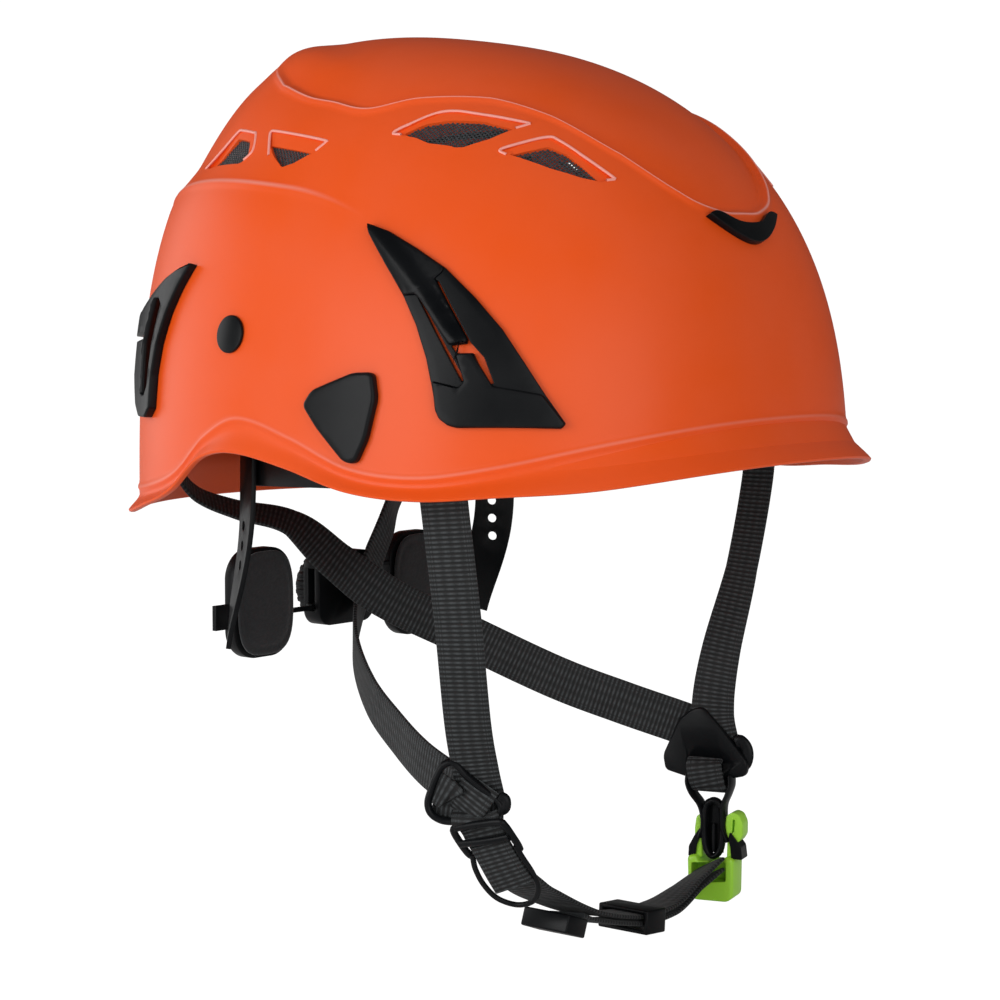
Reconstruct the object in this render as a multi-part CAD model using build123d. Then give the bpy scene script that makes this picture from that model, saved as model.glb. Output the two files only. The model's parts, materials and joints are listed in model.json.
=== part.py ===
from build123d import *
import math
import os

# Climbing and forestry helmet. Millimetres, +Z up, the wearer faces -Y, the wearer's right is -X.
# The origin is the middle of the head opening, level with the temples.

# ---- driving dimensions -------------------------------------------------------------------
DOME_HALF_WIDTH = 108.0
DOME_HALF_LENGTH = 130.0
DOME_HEIGHT = 169.5
DOME_CENTRE_Y = 5.7
DOME_CENTRE_Z = -7.0
DOME_PLAN_POWER = 2.28
DOME_SIDE_POWER = 2.5
DOME_POWER_SLOPE = 0.3
DOME_POWER_BOW = 0.5
DOME_REAR_LIFT = 0.106
SHELL_WALL = 3.0
CREST_DEPTH = 1.6
VENT_LIP_DEPTH = 1.3
CLIP_RISE = 3.4
SEAT = 0.12

BAND_HALF_WIDTH = 80.0
BAND_HALF_LENGTH = 99.0
BAND_THICKNESS = 1.8
BAND_CENTRE_Y = 2.0

WEBBING_WIDTH = 16.0
WEBBING_THICKNESS = 1.5

KNOB_RADIUS = 12.5
KNOB_CENTRE = Vector(0, 86, -37)
PINION_RADIUS = 5.0
WING_TRAVEL = 10.45
WING_DROP = 2.0
RACK_PITCH = 2 * math.pi * PINION_RADIUS / 10

NAPE_Y = 82.0
NAPE_Z = -37.0

BUCKLE_X = 70.0
BUCKLE_Y = -46.0
BUCKLE_WIDTH = 17.0
BUCKLE_DEPTH = 12.0
BUCKLE_TOP = -131.0
BUCKLE_BOTTOM = -148.0

# Rim stations from front to rear: y, rim height, crease height, outward flare of the rim.
RIM_STATIONS = [
    (-128, 20.5, 34.0, 9.0),
    (-100, 14.2, 26.5, 7.0),
    (-75, 11.0, 20.0, 4.5),
    (-50, 9.0, 16.0, 3.2),
    (-25, 11.0, 18.0, 3.0),
    (0, 17.5, 27.0, 3.0),
    (25, 21.4, 32.5, 3.0),
    (42, 18.5, 26.0, 3.0),
    (60, 6.5, 13.0, 3.2),
    (80, 0.0, 7.0, 3.6),
    (105, -5.0, 4.0, 4.0),
    (140, -5.0, 4.0, 4.0),
]


# ---- the dome as a formula ----------------------------------------------------------------
def dome_measure(x, y, z, power):
    plan = abs(x / DOME_HALF_WIDTH) ** DOME_PLAN_POWER + abs(y / DOME_HALF_LENGTH) ** DOME_PLAN_POWER
    return (plan ** (power / DOME_PLAN_POWER) + abs(z / DOME_HEIGHT) ** power) ** (1 / power)


def dome_skin(across, along):
    """Point of the outer skin; (across, along) is the tilt from the crown, in radians, towards +X and +Y."""
    tilt = math.hypot(across, along)
    share = math.sin(tilt) / tilt if tilt > 1e-9 else 1.0
    dx, dy, dz = across * share, along * share, math.cos(tilt)
    power = DOME_SIDE_POWER + DOME_POWER_SLOPE * dy + DOME_POWER_BOW * dy * dy
    x, y, z = dx * DOME_HALF_WIDTH, dy * DOME_HALF_LENGTH, dz * DOME_HEIGHT
    size = dome_measure(x, y, z, power)
    lift = 1 + DOME_REAR_LIFT * dy * dz
    return Vector(x / size, y / size + DOME_CENTRE_Y, z / size * lift + DOME_CENTRE_Z)


def dome_normal(across, along):
    step = 0.002
    sideways = dome_skin(across + step, along) - dome_skin(across - step, along)
    rearward = dome_skin(across, along + step) - dome_skin(across, along - step)
    return sideways.cross(rearward).normalized()


def dome_point(across, along, rise=0.0):
    return dome_skin(across, along) + dome_normal(across, along) * rise


def tangent_plane(heading_deg, tilt_deg):
    """Plane on the skin: local X runs level round the dome, local Y up the slope, Z outward."""
    heading, tilt = math.radians(heading_deg), math.radians(tilt_deg)
    across, along = tilt * math.cos(heading), tilt * math.sin(heading)
    normal = dome_normal(across, along)
    level = Vector(0, 0, 1).cross(normal).normalized()
    return Plane(origin=dome_skin(across, along), x_dir=level, z_dir=normal)


def along_rim(y, column):
    """Smooth value of one column of the rim stations at y."""
    rows = RIM_STATIONS
    y = min(max(y, rows[0][0]), rows[-1][0] - 0.001)
    i = max(k for k in range(len(rows) - 1) if rows[k][0] <= y)
    before, low, high, after = rows[max(i - 1, 0)], rows[i], rows[i + 1], rows[min(i + 2, len(rows) - 1)]
    span = high[0] - low[0]
    t = (y - low[0]) / span
    slope_low = (high[column] - before[column]) / (high[0] - before[0]) * span
    slope_high = (after[column] - low[column]) / (after[0] - low[0]) * span
    blend = t * t * (3 - 2 * t)
    ease = slope_low * t * (1 - t) ** 2 - slope_high * t * t * (1 - t)
    return low[column] * (1 - blend) + high[column] * blend + ease


def tilt_at_height(heading, column, extra=0.0):
    """Tilt at which the skin crosses the rim or crease line at this heading."""
    low, high = math.radians(40), math.radians(100)
    for _ in range(30):
        middle = (low + high) / 2
        point = dome_skin(middle * math.cos(heading), middle * math.sin(heading))
        if point.Z > along_rim(point.Y, column) + extra:
            low = middle
        else:
            high = middle
    return low


def dome_patch(rise, reach=math.radians(86), count=21):
    rows = []
    for i in range(count):
        u = -1 + 2 * i / (count - 1)
        row = []
        for j in range(count):
            v = -1 + 2 * j / (count - 1)
            row.append(dome_point(reach * u, reach * v, rise))
        rows.append(row)
    return Face.make_surface_from_array_of_points(rows, tol=0.02, min_deg=3, max_deg=5)


def dome_wall(low, high):
    """Closed solid between two skins that lie low and high millimetres off the dome."""
    outer, inner = dome_patch(high), dome_patch(low)
    sides = []
    for edge in outer.edges():
        middle = edge.position_at(0.5)
        match = min(inner.edges(), key=lambda other: (other.position_at(0.5) - middle).length)
        sides.append(Face.make_surface_from_curves(edge, match))
    return Solid(Shell([outer, inner] + sides))


def mirrored(shape):
    return mirror(shape, about=Plane.YZ)


def prism(plane, outline, depth=24.0):
    """Straight bar of an outline that passes through the skin at a tangent plane."""
    return extrude(plane * outline, depth, both=True)


def rounded(points, radius):
    face = make_face(Polyline(*points, close=True))
    return fillet(face.vertices(), radius)


# ---- moulded shell ------------------------------------------------------------------------
VENTS = {
    "leaf": (-151.5, 40.7, [(-19, 0.5), (-3, 4.2), (19, 1.8), (3, -6.8)], 1.2),
    "front": (-132.0, 45.2, [(-13.5, 2.6), (-1, 5.2), (15.5, -7.2)], 0.9),
    "middle": (169.0, 45.7, [(-12, 4), (11, 0.6), (1, -3.2)], 0.7),
    "rear": (151.0, 47.0, [(-15, -5), (-4.5, 6), (5, 4.8), (8, 0), (6, -3)], 1.0),
}


def vent_outline(name, grow=0.0):
    heading, tilt, points, radius = VENTS[name]
    face = rounded(points, radius)
    if grow:
        face = offset(face, amount=grow)
    return tangent_plane(heading, tilt), face


def crest_outline():
    """Top panel seen from above: wide at the rear, a narrow tongue at the brow."""
    flank = [(-12, -104), (-25, -97), (-37, -82), (-46, -60), (-53, -41), (-63, -19), (-70, -2), (-68, 18)]
    rear = [(-61, 44), (-48, 70), (-24, 79), (0, 81)]
    right = Spline(*flank, *rear, tangents=[(-1, 0.1), (1, 0)])
    left = mirror(right, about=Plane.YZ)
    front = Line((-12, -104), (12, -104))
    return make_face(Curve() + [right, left, front])


def flange_section(heading):
    """Cross-section of the outward-turned rim, buried in the wall above the crease."""
    turn, lean = math.cos(heading), math.sin(heading)
    top_tilt = tilt_at_height(heading, 2, extra=3.0)
    rim_tilt = tilt_at_height(heading, 1)
    rim = dome_skin(rim_tilt * turn, rim_tilt * lean)
    normal = dome_normal(rim_tilt * turn, rim_tilt * lean)
    flat = Vector(normal.X, normal.Y, 0).normalized()
    flare = along_rim(rim.Y, 3)
    outer = rim + flat * flare
    inner = rim + flat * (flare - 2.8)
    top_outer = dome_point(top_tilt * turn, top_tilt * lean, -0.35)
    top_inner = dome_point(top_tilt * turn, top_tilt * lean, -2.6)
    return Wire.make_polygon([top_outer, outer, inner, top_inner], close=True)


def flange_ring():
    steps = 30
    headings = [math.radians(-90 - 180 * i / steps) for i in range(steps + 1)]
    half = Solid.make_loft([flange_section(h) for h in headings])
    return half + mirrored(half)


def above_line(column, lift, top=260.0):
    """Block that keeps what lies above the rim or crease line."""
    line = [(y, along_rim(y, column) + lift) for y in range(-150, 151, 12)]
    side = Polyline(*line, (150, top), (-150, top), close=True)
    return extrude(Plane.YZ * make_face(side), 160, both=True)


def make_shell():
    shell = dome_wall(-SHELL_WALL, 0) & above_line(2, -1.0)
    shell = shell + flange_ring()
    skin_cut = dome_wall(-CREST_DEPTH, 9)
    crest = extrude(Plane.XY.offset(70) * crest_outline(), 130)
    shell = shell - (crest & skin_cut)
    lip_cut = dome_wall(-VENT_LIP_DEPTH, 9)
    for name in VENTS:
        plane, outline = vent_outline(name)
        hole = prism(plane, outline)
        lip_plane, lip = vent_outline(name, grow=2.2)
        pocket = prism(lip_plane, lip) & lip_cut
        for cutter in hole.solids() + pocket.solids():
            shell = shell - cutter - mirrored(cutter)
    for cutter in round_stem(0.2).solids() + plug_stem(0.2).solids():
        shell = shell - cutter - mirrored(cutter)
    return shell


def make_vent_mesh():
    layer = dome_wall(-SHELL_WALL - 0.7, -SHELL_WALL - SEAT)
    sheets = []
    for name in VENTS:
        plane, outline = vent_outline(name, grow=3.0)
        sheets += (prism(plane, outline) & layer).solids()
    return Compound(sheets)


# ---- black clips and plugs on the shell ---------------------------------------------------
def front_lamp_outline():
    """Fin-shaped lamp clip: tall tip to the rear, wide foot to the front."""
    leading = Spline((-31.5, 37), (-2.5, 21.5), (24, -5.5), (38.5, -26.5))
    foot = Polyline((38.5, -26.5), (36.5, -28), (5.5, -29), (1, -27), (-2.5, -22))
    trailing = Spline((-2.5, -22), (-7, -5.5), (-15.5, 12.5), (-31.5, 37))
    return make_face(Curve() + [leading, foot, trailing])


def front_lamp_slots():
    rear_slot = rounded([(-13, 14), (-10, 15), (-1, -2), (4.5, -14), (1, -14.5), (-3.5, -3)], 0.8)
    front_slot = rounded([(-4, 18), (0.5, 14.5), (12, 1.5), (20, -12), (16.5, -14), (6, -3)], 0.8)
    gap = rounded([(-1.5, -2.8), (6.5, -2.2), (8, -5.6), (0.5, -5.8)], 0.6)
    return [rear_slot, front_slot, gap]


def make_front_lamp_clip():
    plane = tangent_plane(-151.0, 67.4)
    trailing_band = rounded([(-40, 36), (-14.5, 17), (-3.5, -3), (2, -14.5), (-14, -14.5)], 0.6)
    leading_band = rounded([(-20, 42), (1.0, 15.5), (13, 2), (21.5, -12), (44, -12)], 0.6)
    outline = front_lamp_outline()
    tongue = outline - trailing_band - leading_band
    plate = prism(plane, outline) & dome_wall(SEAT, CLIP_RISE - 1.2)
    plate = plate + (prism(plane, tongue) & dome_wall(SEAT, CLIP_RISE))
    for slot in front_lamp_slots():
        plate = plate - prism(plane, slot)
    return plate


def make_rear_lamp_clip():
    plane = tangent_plane(146.0, 70.1)
    leading = Spline((23, 28), (6.5, 22.5), (-8.5, 14.5), (-20, 9.5))
    back = Polyline((-20, 9.5), (-22, 2), (-19.5, 0.5), (-20.5, -12), (-15, -22), (-9, -26), (-1, -26), (3.6, -22.5))
    trailing = Spline((3.6, -22.5), (6.7, -0.3), (23, 28))
    outline = make_face(Curve() + [leading, back, trailing])
    slot = rounded([(2.5, 15), (5.0, 13.5), (-1.5, -3), (-3.5, -17), (-7, -16), (-5, -1)], 0.8)
    return (prism(plane, outline) & dome_wall(SEAT, CLIP_RISE)) - prism(plane, slot)


def make_front_crest_clip():
    plane = tangent_plane(-90.0, 52.9)
    low = Spline((-19, 3.2), (-9, -4.8), (0, -7.8), (9, -4.8), (19, 3.2))
    high = Spline((19, 3.2), (15, 4.0), (8, 0.6), (0, -0.8), (-8, 0.6), (-15, 4.0), (-19, 3.2))
    outline = make_face(Curve() + [low, high])
    return prism(plane, outline) & dome_wall(SEAT, 2.6)


def round_stem(grow=0.0):
    return prism(tangent_plane(168.5, 67.8), Circle(4.0 + grow))


def make_round_plug():
    plane = tangent_plane(168.5, 67.8)
    head = prism(plane, Circle(6.4)) & dome_wall(SEAT, 1.3)
    stem = round_stem() & dome_wall(-SHELL_WALL - 1.5, 0.6)
    return head + stem


def plug_stem(grow=0.0):
    return prism(tangent_plane(-167.5, 75.5), Pos(2, 2) * Rectangle(9 + 2 * grow, 9 + 2 * grow))


def make_visor_plug():
    plane = tangent_plane(-167.5, 75.5)
    points = [(-15.5, 2), (-12, 7), (4, 13), (11.5, 13.3), (13.3, 5), (10.5, -8), (6.5, -16.2), (2, -15.8), (-9.5, -5)]
    plate = prism(plane, rounded(points, 1.8)) & dome_wall(SEAT, 3.0)
    stem = plug_stem() & dome_wall(-SHELL_WALL - 1.5, 0.6)
    return plate + stem


# ---- headband and textile cradle ----------------------------------------------------------
def band_plan(grow):
    return Pos(0, BAND_CENTRE_Y) * Ellipse(BAND_HALF_WIDTH + grow, BAND_HALF_LENGTH + grow)


def band_slab(low_front, low_rear, height):
    """Side view of the band: level at the brow, dropping towards the nape."""
    points = [(-130, low_front), (0, low_front), (60, low_rear + 4), (130, low_rear)]
    line = Spline(*points, tangents=[(1, 0), (1, 0)])
    top = Spline(*[(y, z + height) for y, z in points], tangents=[(1, 0), (1, 0)])
    ends = [Line(points[0], (-130, low_front + height)), Line(points[-1], (130, low_rear + height))]
    return extrude(Plane.YZ * make_face(Curve() + [line, top] + ends), 120, both=True)


def make_headband():
    ring = extrude(band_plan(0) - band_plan(-BAND_THICKNESS), 60, both=True)
    return ring & band_slab(9, 2, 22.5)


def make_brow_pad():
    ring = extrude(band_plan(-BAND_THICKNESS - SEAT) - band_plan(-BAND_THICKNESS - 4.5), 60, both=True)
    front = Pos(0, -80, 20) * Box(200, 76, 60)
    return ring & band_slab(11, 3, 20) & front


HANGER_HEADINGS = [38.0, 142.0, 222.0, 318.0]


def inside_shell(block, walling):
    """The part of a block that lies inside the shell."""
    pieces = (block - walling).solids()
    return min(pieces, key=lambda piece: Vector(*piece.center()).length)


def make_cradle_hangers():
    """Four moulded hangers carry the headband and the cradle inside the shell."""
    walling = dome_wall(-SHELL_WALL - SEAT, 24)
    hangers = []
    for heading in HANGER_HEADINGS:
        turn = math.radians(heading)
        band = 1 / math.hypot(math.cos(turn) / BAND_HALF_WIDTH, math.sin(turn) / BAND_HALF_LENGTH)
        bar = Rot(0, 0, heading) * (Pos(band + 22, 0, 32) * Box(36, 14, 22))
        hangers.append(inside_shell(bar, walling))
    return Compound(hangers)


def webbing(points, facings, width=WEBBING_WIDTH, thickness=WEBBING_THICKNESS):
    """Flat strap lofted through its stations; each facing is the way its broad side looks there."""
    places = [Vector(*p) for p in points]
    sections = []
    for i, place in enumerate(places):
        before, after = places[max(i - 1, 0)], places[min(i + 1, len(places) - 1)]
        run = (after - before).normalized()
        facing = Vector(*facings[i])
        across = run.cross(facing).normalized()
        plane = Plane(origin=place, x_dir=across, z_dir=run)
        sections.append((plane * Rectangle(width, thickness)).face().outer_wire())
    return Solid.make_loft(sections)


def cradle_strap(heading_deg, crown):
    """One strap over the head from hanger to hanger."""
    halves = []
    for side in (0, 180):
        heading = math.radians(heading_deg + side)
        points, facings = [], []
        for i in range(6):
            lean = math.radians(16 * i)
            out, height = 90.0 * math.sin(lean), 37 + (crown - 37) * math.cos(lean)
            points.append((out * math.cos(heading), out * math.sin(heading) * 1.08 + BAND_CENTRE_Y, height))
            facings.append((math.sin(lean) * math.cos(heading), math.sin(lean) * math.sin(heading), math.cos(lean)))
        halves.append(webbing(points, facings, width=20.0))
    return halves[0] + halves[1]


# ---- nape fitting -------------------------------------------------------------------------
def make_arm():
    """Flexible plate from the headband down to the wing, with a ladder of holes."""
    points = [(-67.4, 58.9, 17), (-67.6, 59.3, -2), (-68, 61.5, -20), (-67, 67, -37), (-65.5, 71, -50)]
    facings = [(-0.875, 0.485, 0), (-0.86, 0.5, 0), (-0.82, 0.57, 0), (-0.75, 0.66, 0), (-0.66, 0.75, 0)]
    arm = webbing(points, facings, width=15.0, thickness=1.8)
    for z in (-8, -15, -22):
        hole = Plane(origin=(-68, 61, z), x_dir=(0.5, 0.86, 0), z_dir=(-0.86, 0.5, 0)) * Circle(1.7)
        arm = arm - extrude(hole, 12, both=True)
    return arm


def nape_plane(x=0.0, y=NAPE_Y, z=NAPE_Z):
    return Plane(origin=(x, y, z), x_dir=(-1, 0, 0), z_dir=(0, 1, 0))


def make_nape_housing():
    """Flat case that carries the knob; the two racks slide through its open ends."""
    case = extrude(nape_plane(y=75) * RectangleRounded(30, 27, 6), 8)
    tunnel = Pos(0, 79, NAPE_Z) * Box(60, 3.4, 16)
    bore = Pos(0, 80, NAPE_Z) * Rot(90, 0, 0) * Cylinder(3.2, 12)
    gearwell = Pos(0, 79, NAPE_Z) * Rot(90, 0, 0) * Cylinder(PINION_RADIUS + 1.0, 3.4)
    ribs = [Pos(x, 83.3, NAPE_Z - 9.5) * Box(1.2, 1.0, 5) for x in (-10.5, -7.5, 7.5, 10.5)]
    return case - tunnel - bore - gearwell + ribs


def pinion_outline(radius, teeth=10):
    outer, root = radius + 0.7, radius - 0.9
    points = []
    for i in range(teeth):
        base = 2 * math.pi * i / teeth
        for turn, r in ((-0.17, root), (-0.08, outer), (0.08, outer), (0.17, root)):
            points.append((r * math.cos(base + turn), r * math.sin(base + turn)))
    return make_face(Polyline(*points, close=True))


def make_nape_knob():
    """Ribbed hand wheel, its stub shaft and the pinion that drives both racks."""
    rim = Circle(KNOB_RADIUS)
    for i in range(24):
        rim = rim - Rot(0, 0, 15 * i) * (Pos(KNOB_RADIUS + 0.2, 0) * Circle(0.9))
    wheel = extrude(nape_plane(y=84.2) * rim, 5.5)
    cap = extrude(nape_plane(y=89.7) * Circle(KNOB_RADIUS - 2.5), 3.0)
    cap = chamfer(cap.faces().sort_by(Axis.Y)[-1].edges(), 0.8)
    shaft = extrude(nape_plane(y=80.5) * Circle(2.9), 4.0)
    pinion = extrude(nape_plane(y=77.9) * pinion_outline(PINION_RADIUS), 2.6)
    return wheel + cap + shaft + pinion


def make_rack():
    """Toothed bar under the pinion, in mesh at rest and over the whole travel."""
    bar = Pos(-15, 79.2, NAPE_Z - PINION_RADIUS - 1.7) * Box(42, 2.4, 1.6)
    for i in range(7):
        bar = bar + Pos(RACK_PITCH * (1 - i), 79.2, NAPE_Z - PINION_RADIUS - 0.5) * Box(1.0, 2.4, 0.9)
    return bar


def make_wing(drop=WING_DROP):
    """Right-hand wing: oval pad frame with slots, button disc, rack and an ear for the arm."""
    plane = nape_plane(x=-42, y=77.5, z=NAPE_Z - drop)
    frame = extrude(plane * RectangleRounded(30, 40, 11), 4.5)
    for height in (-13.5, 13.5):
        frame = frame - extrude(plane * Pos(0, height) * SlotOverall(16, 3.2), 6)
    disc = extrude(nape_plane(x=-42, y=82) * Circle(6.0), 1.6)
    ear = Pos(-59.5, 80.4, NAPE_Z - 6) * Box(9, 1.8, 9)
    latches = [Pos(-51, 82.6, NAPE_Z + z) * Box(4, 1.6, 4) for z in (-10, 8)]
    other_rack = Pos(-28, 79.2, NAPE_Z + PINION_RADIUS + 1.4) * Box(34, 3.2, 3.6)
    return frame + disc + ear + latches - other_rack + make_rack()


def make_wing_pad():
    plane = nape_plane(x=-42, y=74.9, z=NAPE_Z - WING_DROP)
    return extrude(plane * RectangleRounded(28, 38, 10), 2.5)


# ---- chin harness -------------------------------------------------------------------------
CHEEK_FACING = (-0.89, -0.45, 0)
VIEW_FACING = (-0.766, -0.643, 0)


def make_front_strap_right():
    points = [(-90, -50, 22), (-87.5, -50.5, 4), (-80, -49, -30), (-71.5, -46, -66), (-68, -44.5, -84)]
    return webbing(points, [CHEEK_FACING] * 5)


def make_front_strap_left():
    points = [(90, -50, 22), (87.5, -50.5, 4), (80, -49, -28), (71.5, -46, -58), (67.5, -44.5, -79)]
    facings = [(0.97, -0.2, 0), (0.97, -0.2, 0), (0.97, -0.2, 0), (0.97, 0.1, 0), (0.85, 0.5, 0)]
    return webbing(points, facings)


def make_rear_strap_right():
    """Starts behind the right ear, crosses behind the neck and ends at the left divider."""
    points = [(-66, 100, 13), (-57, 97, 1), (-44, 89, -5.5), (-31, 74, -10), (-18, 62.5, -25), (-3, 51.5, -39),
              (19, 34, -53), (40, 7, -69), (53, -15, -78), (62, -36, -86)]
    facings = [(-0.5, -0.86, 0)] * 2 + [(-0.6, -0.8, 0), (-0.66, -0.75, 0), (-0.7, -0.7, 0)] + [VIEW_FACING] * 5
    return webbing(points, facings)


def make_rear_strap_left():
    """Starts behind the left ear, passes under the other strap and ends at the right divider."""
    points = [(66, 100, 13), (56, 97, 1), (43, 89, -5), (25, 72.5, -11), (12, 69, -26), (-1, 67, -42.5),
              (-18, 54, -56.5), (-37, 29, -69), (-50, 4, -78.5), (-59, -16, -85), (-64, -34, -90)]
    facings = [(0.5, -0.86, 0), (0.45, -0.9, 0), (0.55, -0.83, 0), (0.45, -0.89, 0), (0.32, -0.95, 0),
               (0.53, -0.85, 0), (0.74, -0.68, 0), (0.85, -0.53, 0), (0.9, -0.43, 0), (0.94, -0.3, 0), (0.96, -0.2, 0)]
    return webbing(points, facings)


def divider_plane(side):
    if side < 0:
        return Plane(origin=(-67, -44.5, -93), x_dir=(0.45, -0.89, 0), z_dir=(-0.89, -0.45, 0))
    return Plane(origin=(68.5, -44, -90), x_dir=(0.24, -0.97, 0), z_dir=(-0.97, -0.24, 0))


def make_divider_right():
    """Open triangular ring in which the two straps and the chin strap meet."""
    outer = rounded([(-7, 12.5), (-13.5, -7), (-10, -10.5), (12, -10.5), (14.5, -5.5)], 2.6)
    inner = offset(outer, amount=-2.2)
    plane = divider_plane(-1)
    ring = extrude(plane * (outer - inner), 1.6, both=True)
    lug = extrude(plane * (Pos(14, -1.5) * Circle(2.6)), 1.5, both=True)
    return ring + lug


def make_divider_left():
    """Closed triangular plate with a slot for the buckle loop."""
    plane = divider_plane(1)
    plate = rounded([(-2, 13), (-16.5, -5), (-13, -11.5), (14, -11.5), (17.5, -3)], 2.6)
    slot = Pos(0, -7.2) * RectangleRounded(17, 3.4, 1.2)
    body = extrude(plane * (plate - slot), 1.6, both=True)
    lug = extrude(plane * (Pos(18, -3) * Circle(2.8)), 1.5, both=True)
    return body + lug


def make_tongue_strap():
    """Short sewn loop between the left divider and the buckle tongue."""
    plane = Plane(origin=(69, -45, -102), x_dir=(-0.993, -0.12, 0), z_dir=(0.12, -0.993, 0))
    loop = RectangleRounded(9.2, 12.6, 4.0) - RectangleRounded(6.4, 9.8, 2.6)
    return extrude(plane * loop, 5.9, both=True)


def make_strap_anchors():
    """Four moulded anchors that pin the harness ends to the inside of the shell."""
    walling = dome_wall(-SHELL_WALL - SEAT, 24)
    blocks = []
    for side in (-1, 1):
        front = Pos(side * 96, -50, 28) * Box(20, 22, 12)
        rear = Pos(side * 69, 108, 16) * Rot(0, 0, side * -32) * Box(20, 18, 12)
        blocks += [inside_shell(front, walling), inside_shell(rear, walling)]
    return Compound(blocks)


def hinge_plane():
    """Across the lower bar of the right divider, on which the chin strap swings."""
    divider = divider_plane(-1)
    centre = divider.from_local_coords(Vector(1, -9.4, 0))
    return Plane(origin=centre, x_dir=(0, 0, 1), z_dir=divider.x_dir)


def make_chin_strap():
    """From the right divider under the chin and round the bar inside the buckle body."""
    loop = extrude(hinge_plane() * (Circle(4.1) - Circle(2.6)), 5.6, both=True)
    points = [(-66, -44.8, -106.2), (-64.8, -45.4, -110), (-60, -47.3, -114.4), (-53.5, -48.8, -119),
              (-40, -50, -127.5), (-15, -50.5, -139), (10, -50, -144.5), (32, -48.5, -145.5), (50, -47, -142.5),
              (63, BUCKLE_Y, -138.5)]
    facings = [(-0.88, -0.45, 0), (-0.84, -0.42, -0.3), (-0.75, -0.35, -0.55), (-0.65, -0.2, -0.7),
               (-0.5, -0.1, -0.85), (-0.3, 0, -0.95), (0, 0, -1), (0.2, 0, -1), (0.3, 0, -1), (0.35, 0, -1)]
    return webbing(points, facings) + loop


def make_chin_tail():
    """Doubled end of the chin strap, below the first layer."""
    points = [(-26, -51, -137.8), (-15, -50.5, -141.8), (10, -50, -146.9), (32, -48.5, -148), (50, -47, -145),
              (63, BUCKLE_Y, -141)]
    facings = [(-0.35, -0.1, -0.95), (-0.3, -0.1, -0.95), (0, 0, -1), (0.2, 0, -1), (0.3, 0, -1), (0.35, 0, -1)]
    return webbing(points, facings)


def make_tail_stop():
    place = Pos(-32, -51, -139.5) * Rot(0, 20, 0)
    return place * (Box(11, 20, 6.5) - Pos(4, 0, 0.9) * Box(4, 16.2, 1.7))


def make_strap_keeper():
    place = Pos(13, -50, -146.1) * Rot(0, 3.4, 0)
    return place * (Box(11, 21.8, 8.6) - Box(14, 18.4, 5.8))


def slider_plane():
    return Plane(origin=(-62.3, -46.6, -112.4), x_dir=(0.44, -0.88, 0.12), z_dir=(-0.84, -0.42, -0.35))


def make_slider():
    """Three-bar buckle that sets the chin strap length."""
    frame = RectangleRounded(23, 13.5, 3)
    slots = [Pos(0, y) * RectangleRounded(17, 3.6, 1.0) for y in (3.1, -3.1)]
    frame = frame - slots[0] - slots[1]
    return extrude(slider_plane() * frame, 1.4, both=True)


def make_pull_ring():
    """Slim oval ring for tightening with a gloved hand."""
    plane = Plane(origin=(-63.8, -56.2, -118), x_dir=(0.57, -0.68, 0.45), z_dir=(-0.766, -0.643, 0))
    ring = Ellipse(9.5, 15.5) - Ellipse(7.7, 13.7)
    return extrude(plane * ring, 0.9, both=True)


# ---- buckle -------------------------------------------------------------------------------
def make_buckle_body():
    """Green female half: block with a strap window, a pocket for the latch and two curled arms."""
    height = BUCKLE_TOP - BUCKLE_BOTTOM
    middle = (BUCKLE_TOP + BUCKLE_BOTTOM) / 2
    block = Pos(BUCKLE_X, BUCKLE_Y, middle) * Box(BUCKLE_DEPTH, BUCKLE_WIDTH + 5, height)
    block = fillet(block.edges().filter_by(Axis.Y), 1.8)
    window = Pos(BUCKLE_X - 3, BUCKLE_Y, -140) * Box(12, WEBBING_WIDTH + 1.0, 7.0)
    pocket = Pos(BUCKLE_X + 0.8, BUCKLE_Y, BUCKLE_TOP - 2.5) * Box(8.4, 10.5, 6)
    body = block - window - pocket
    for side in (-1, 1):
        arm = Pos(BUCKLE_X, BUCKLE_Y + side * 9.6, -124.5) * Box(6.0, 2.8, 16)
        curl = Pos(BUCKLE_X, BUCKLE_Y + side * 9.6, -116.5) * Rot(90, 0, 0) * Cylinder(4.2, 2.8)
        body = body + arm + curl
    return body


def make_buckle_lever(side):
    """Black squeeze lever beside each arm."""
    lever = Pos(BUCKLE_X, BUCKLE_Y + side * 13.3, -126.0) * Box(7.0, 2.2, 9.5)
    return fillet(lever.edges().filter_by(Axis.Y), 1.2)


def make_buckle_tongue():
    """Wishbone of the male half, with the latch bar between its legs."""
    plane = Plane(origin=(BUCKLE_X - 0.5, BUCKLE_Y, -112), x_dir=(0, 1, 0), z_dir=(1, 0, 0))
    outer = rounded([(-9.3, 9), (-9.3, 3), (-4.6, -5), (-4.2, -22), (4.2, -22), (4.6, -5), (9.3, 3), (9.3, 9)], 1.6)
    eye = rounded([(-6.9, 5), (-6.6, 3), (-3, -3), (3, -3), (6.6, 3), (6.9, 5)], 0.8)
    top_slot = Pos(0, 7.0) * Rectangle(15.2, 8.0)
    groove = Pos(0, -12.5) * SlotOverall(15, 4.0, rotation=90)
    body = extrude(plane * (outer - eye - top_slot), 2.6, both=True)
    body = body - extrude(plane.offset(1.4) * groove, 3) - extrude(plane.offset(-1.4) * groove, -3)
    bar = Pos(BUCKLE_X - 0.5, BUCKLE_Y, -104.2) * Rot(90, 0, 0) * Cylinder(1.3, 16.0)
    return body + bar


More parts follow.
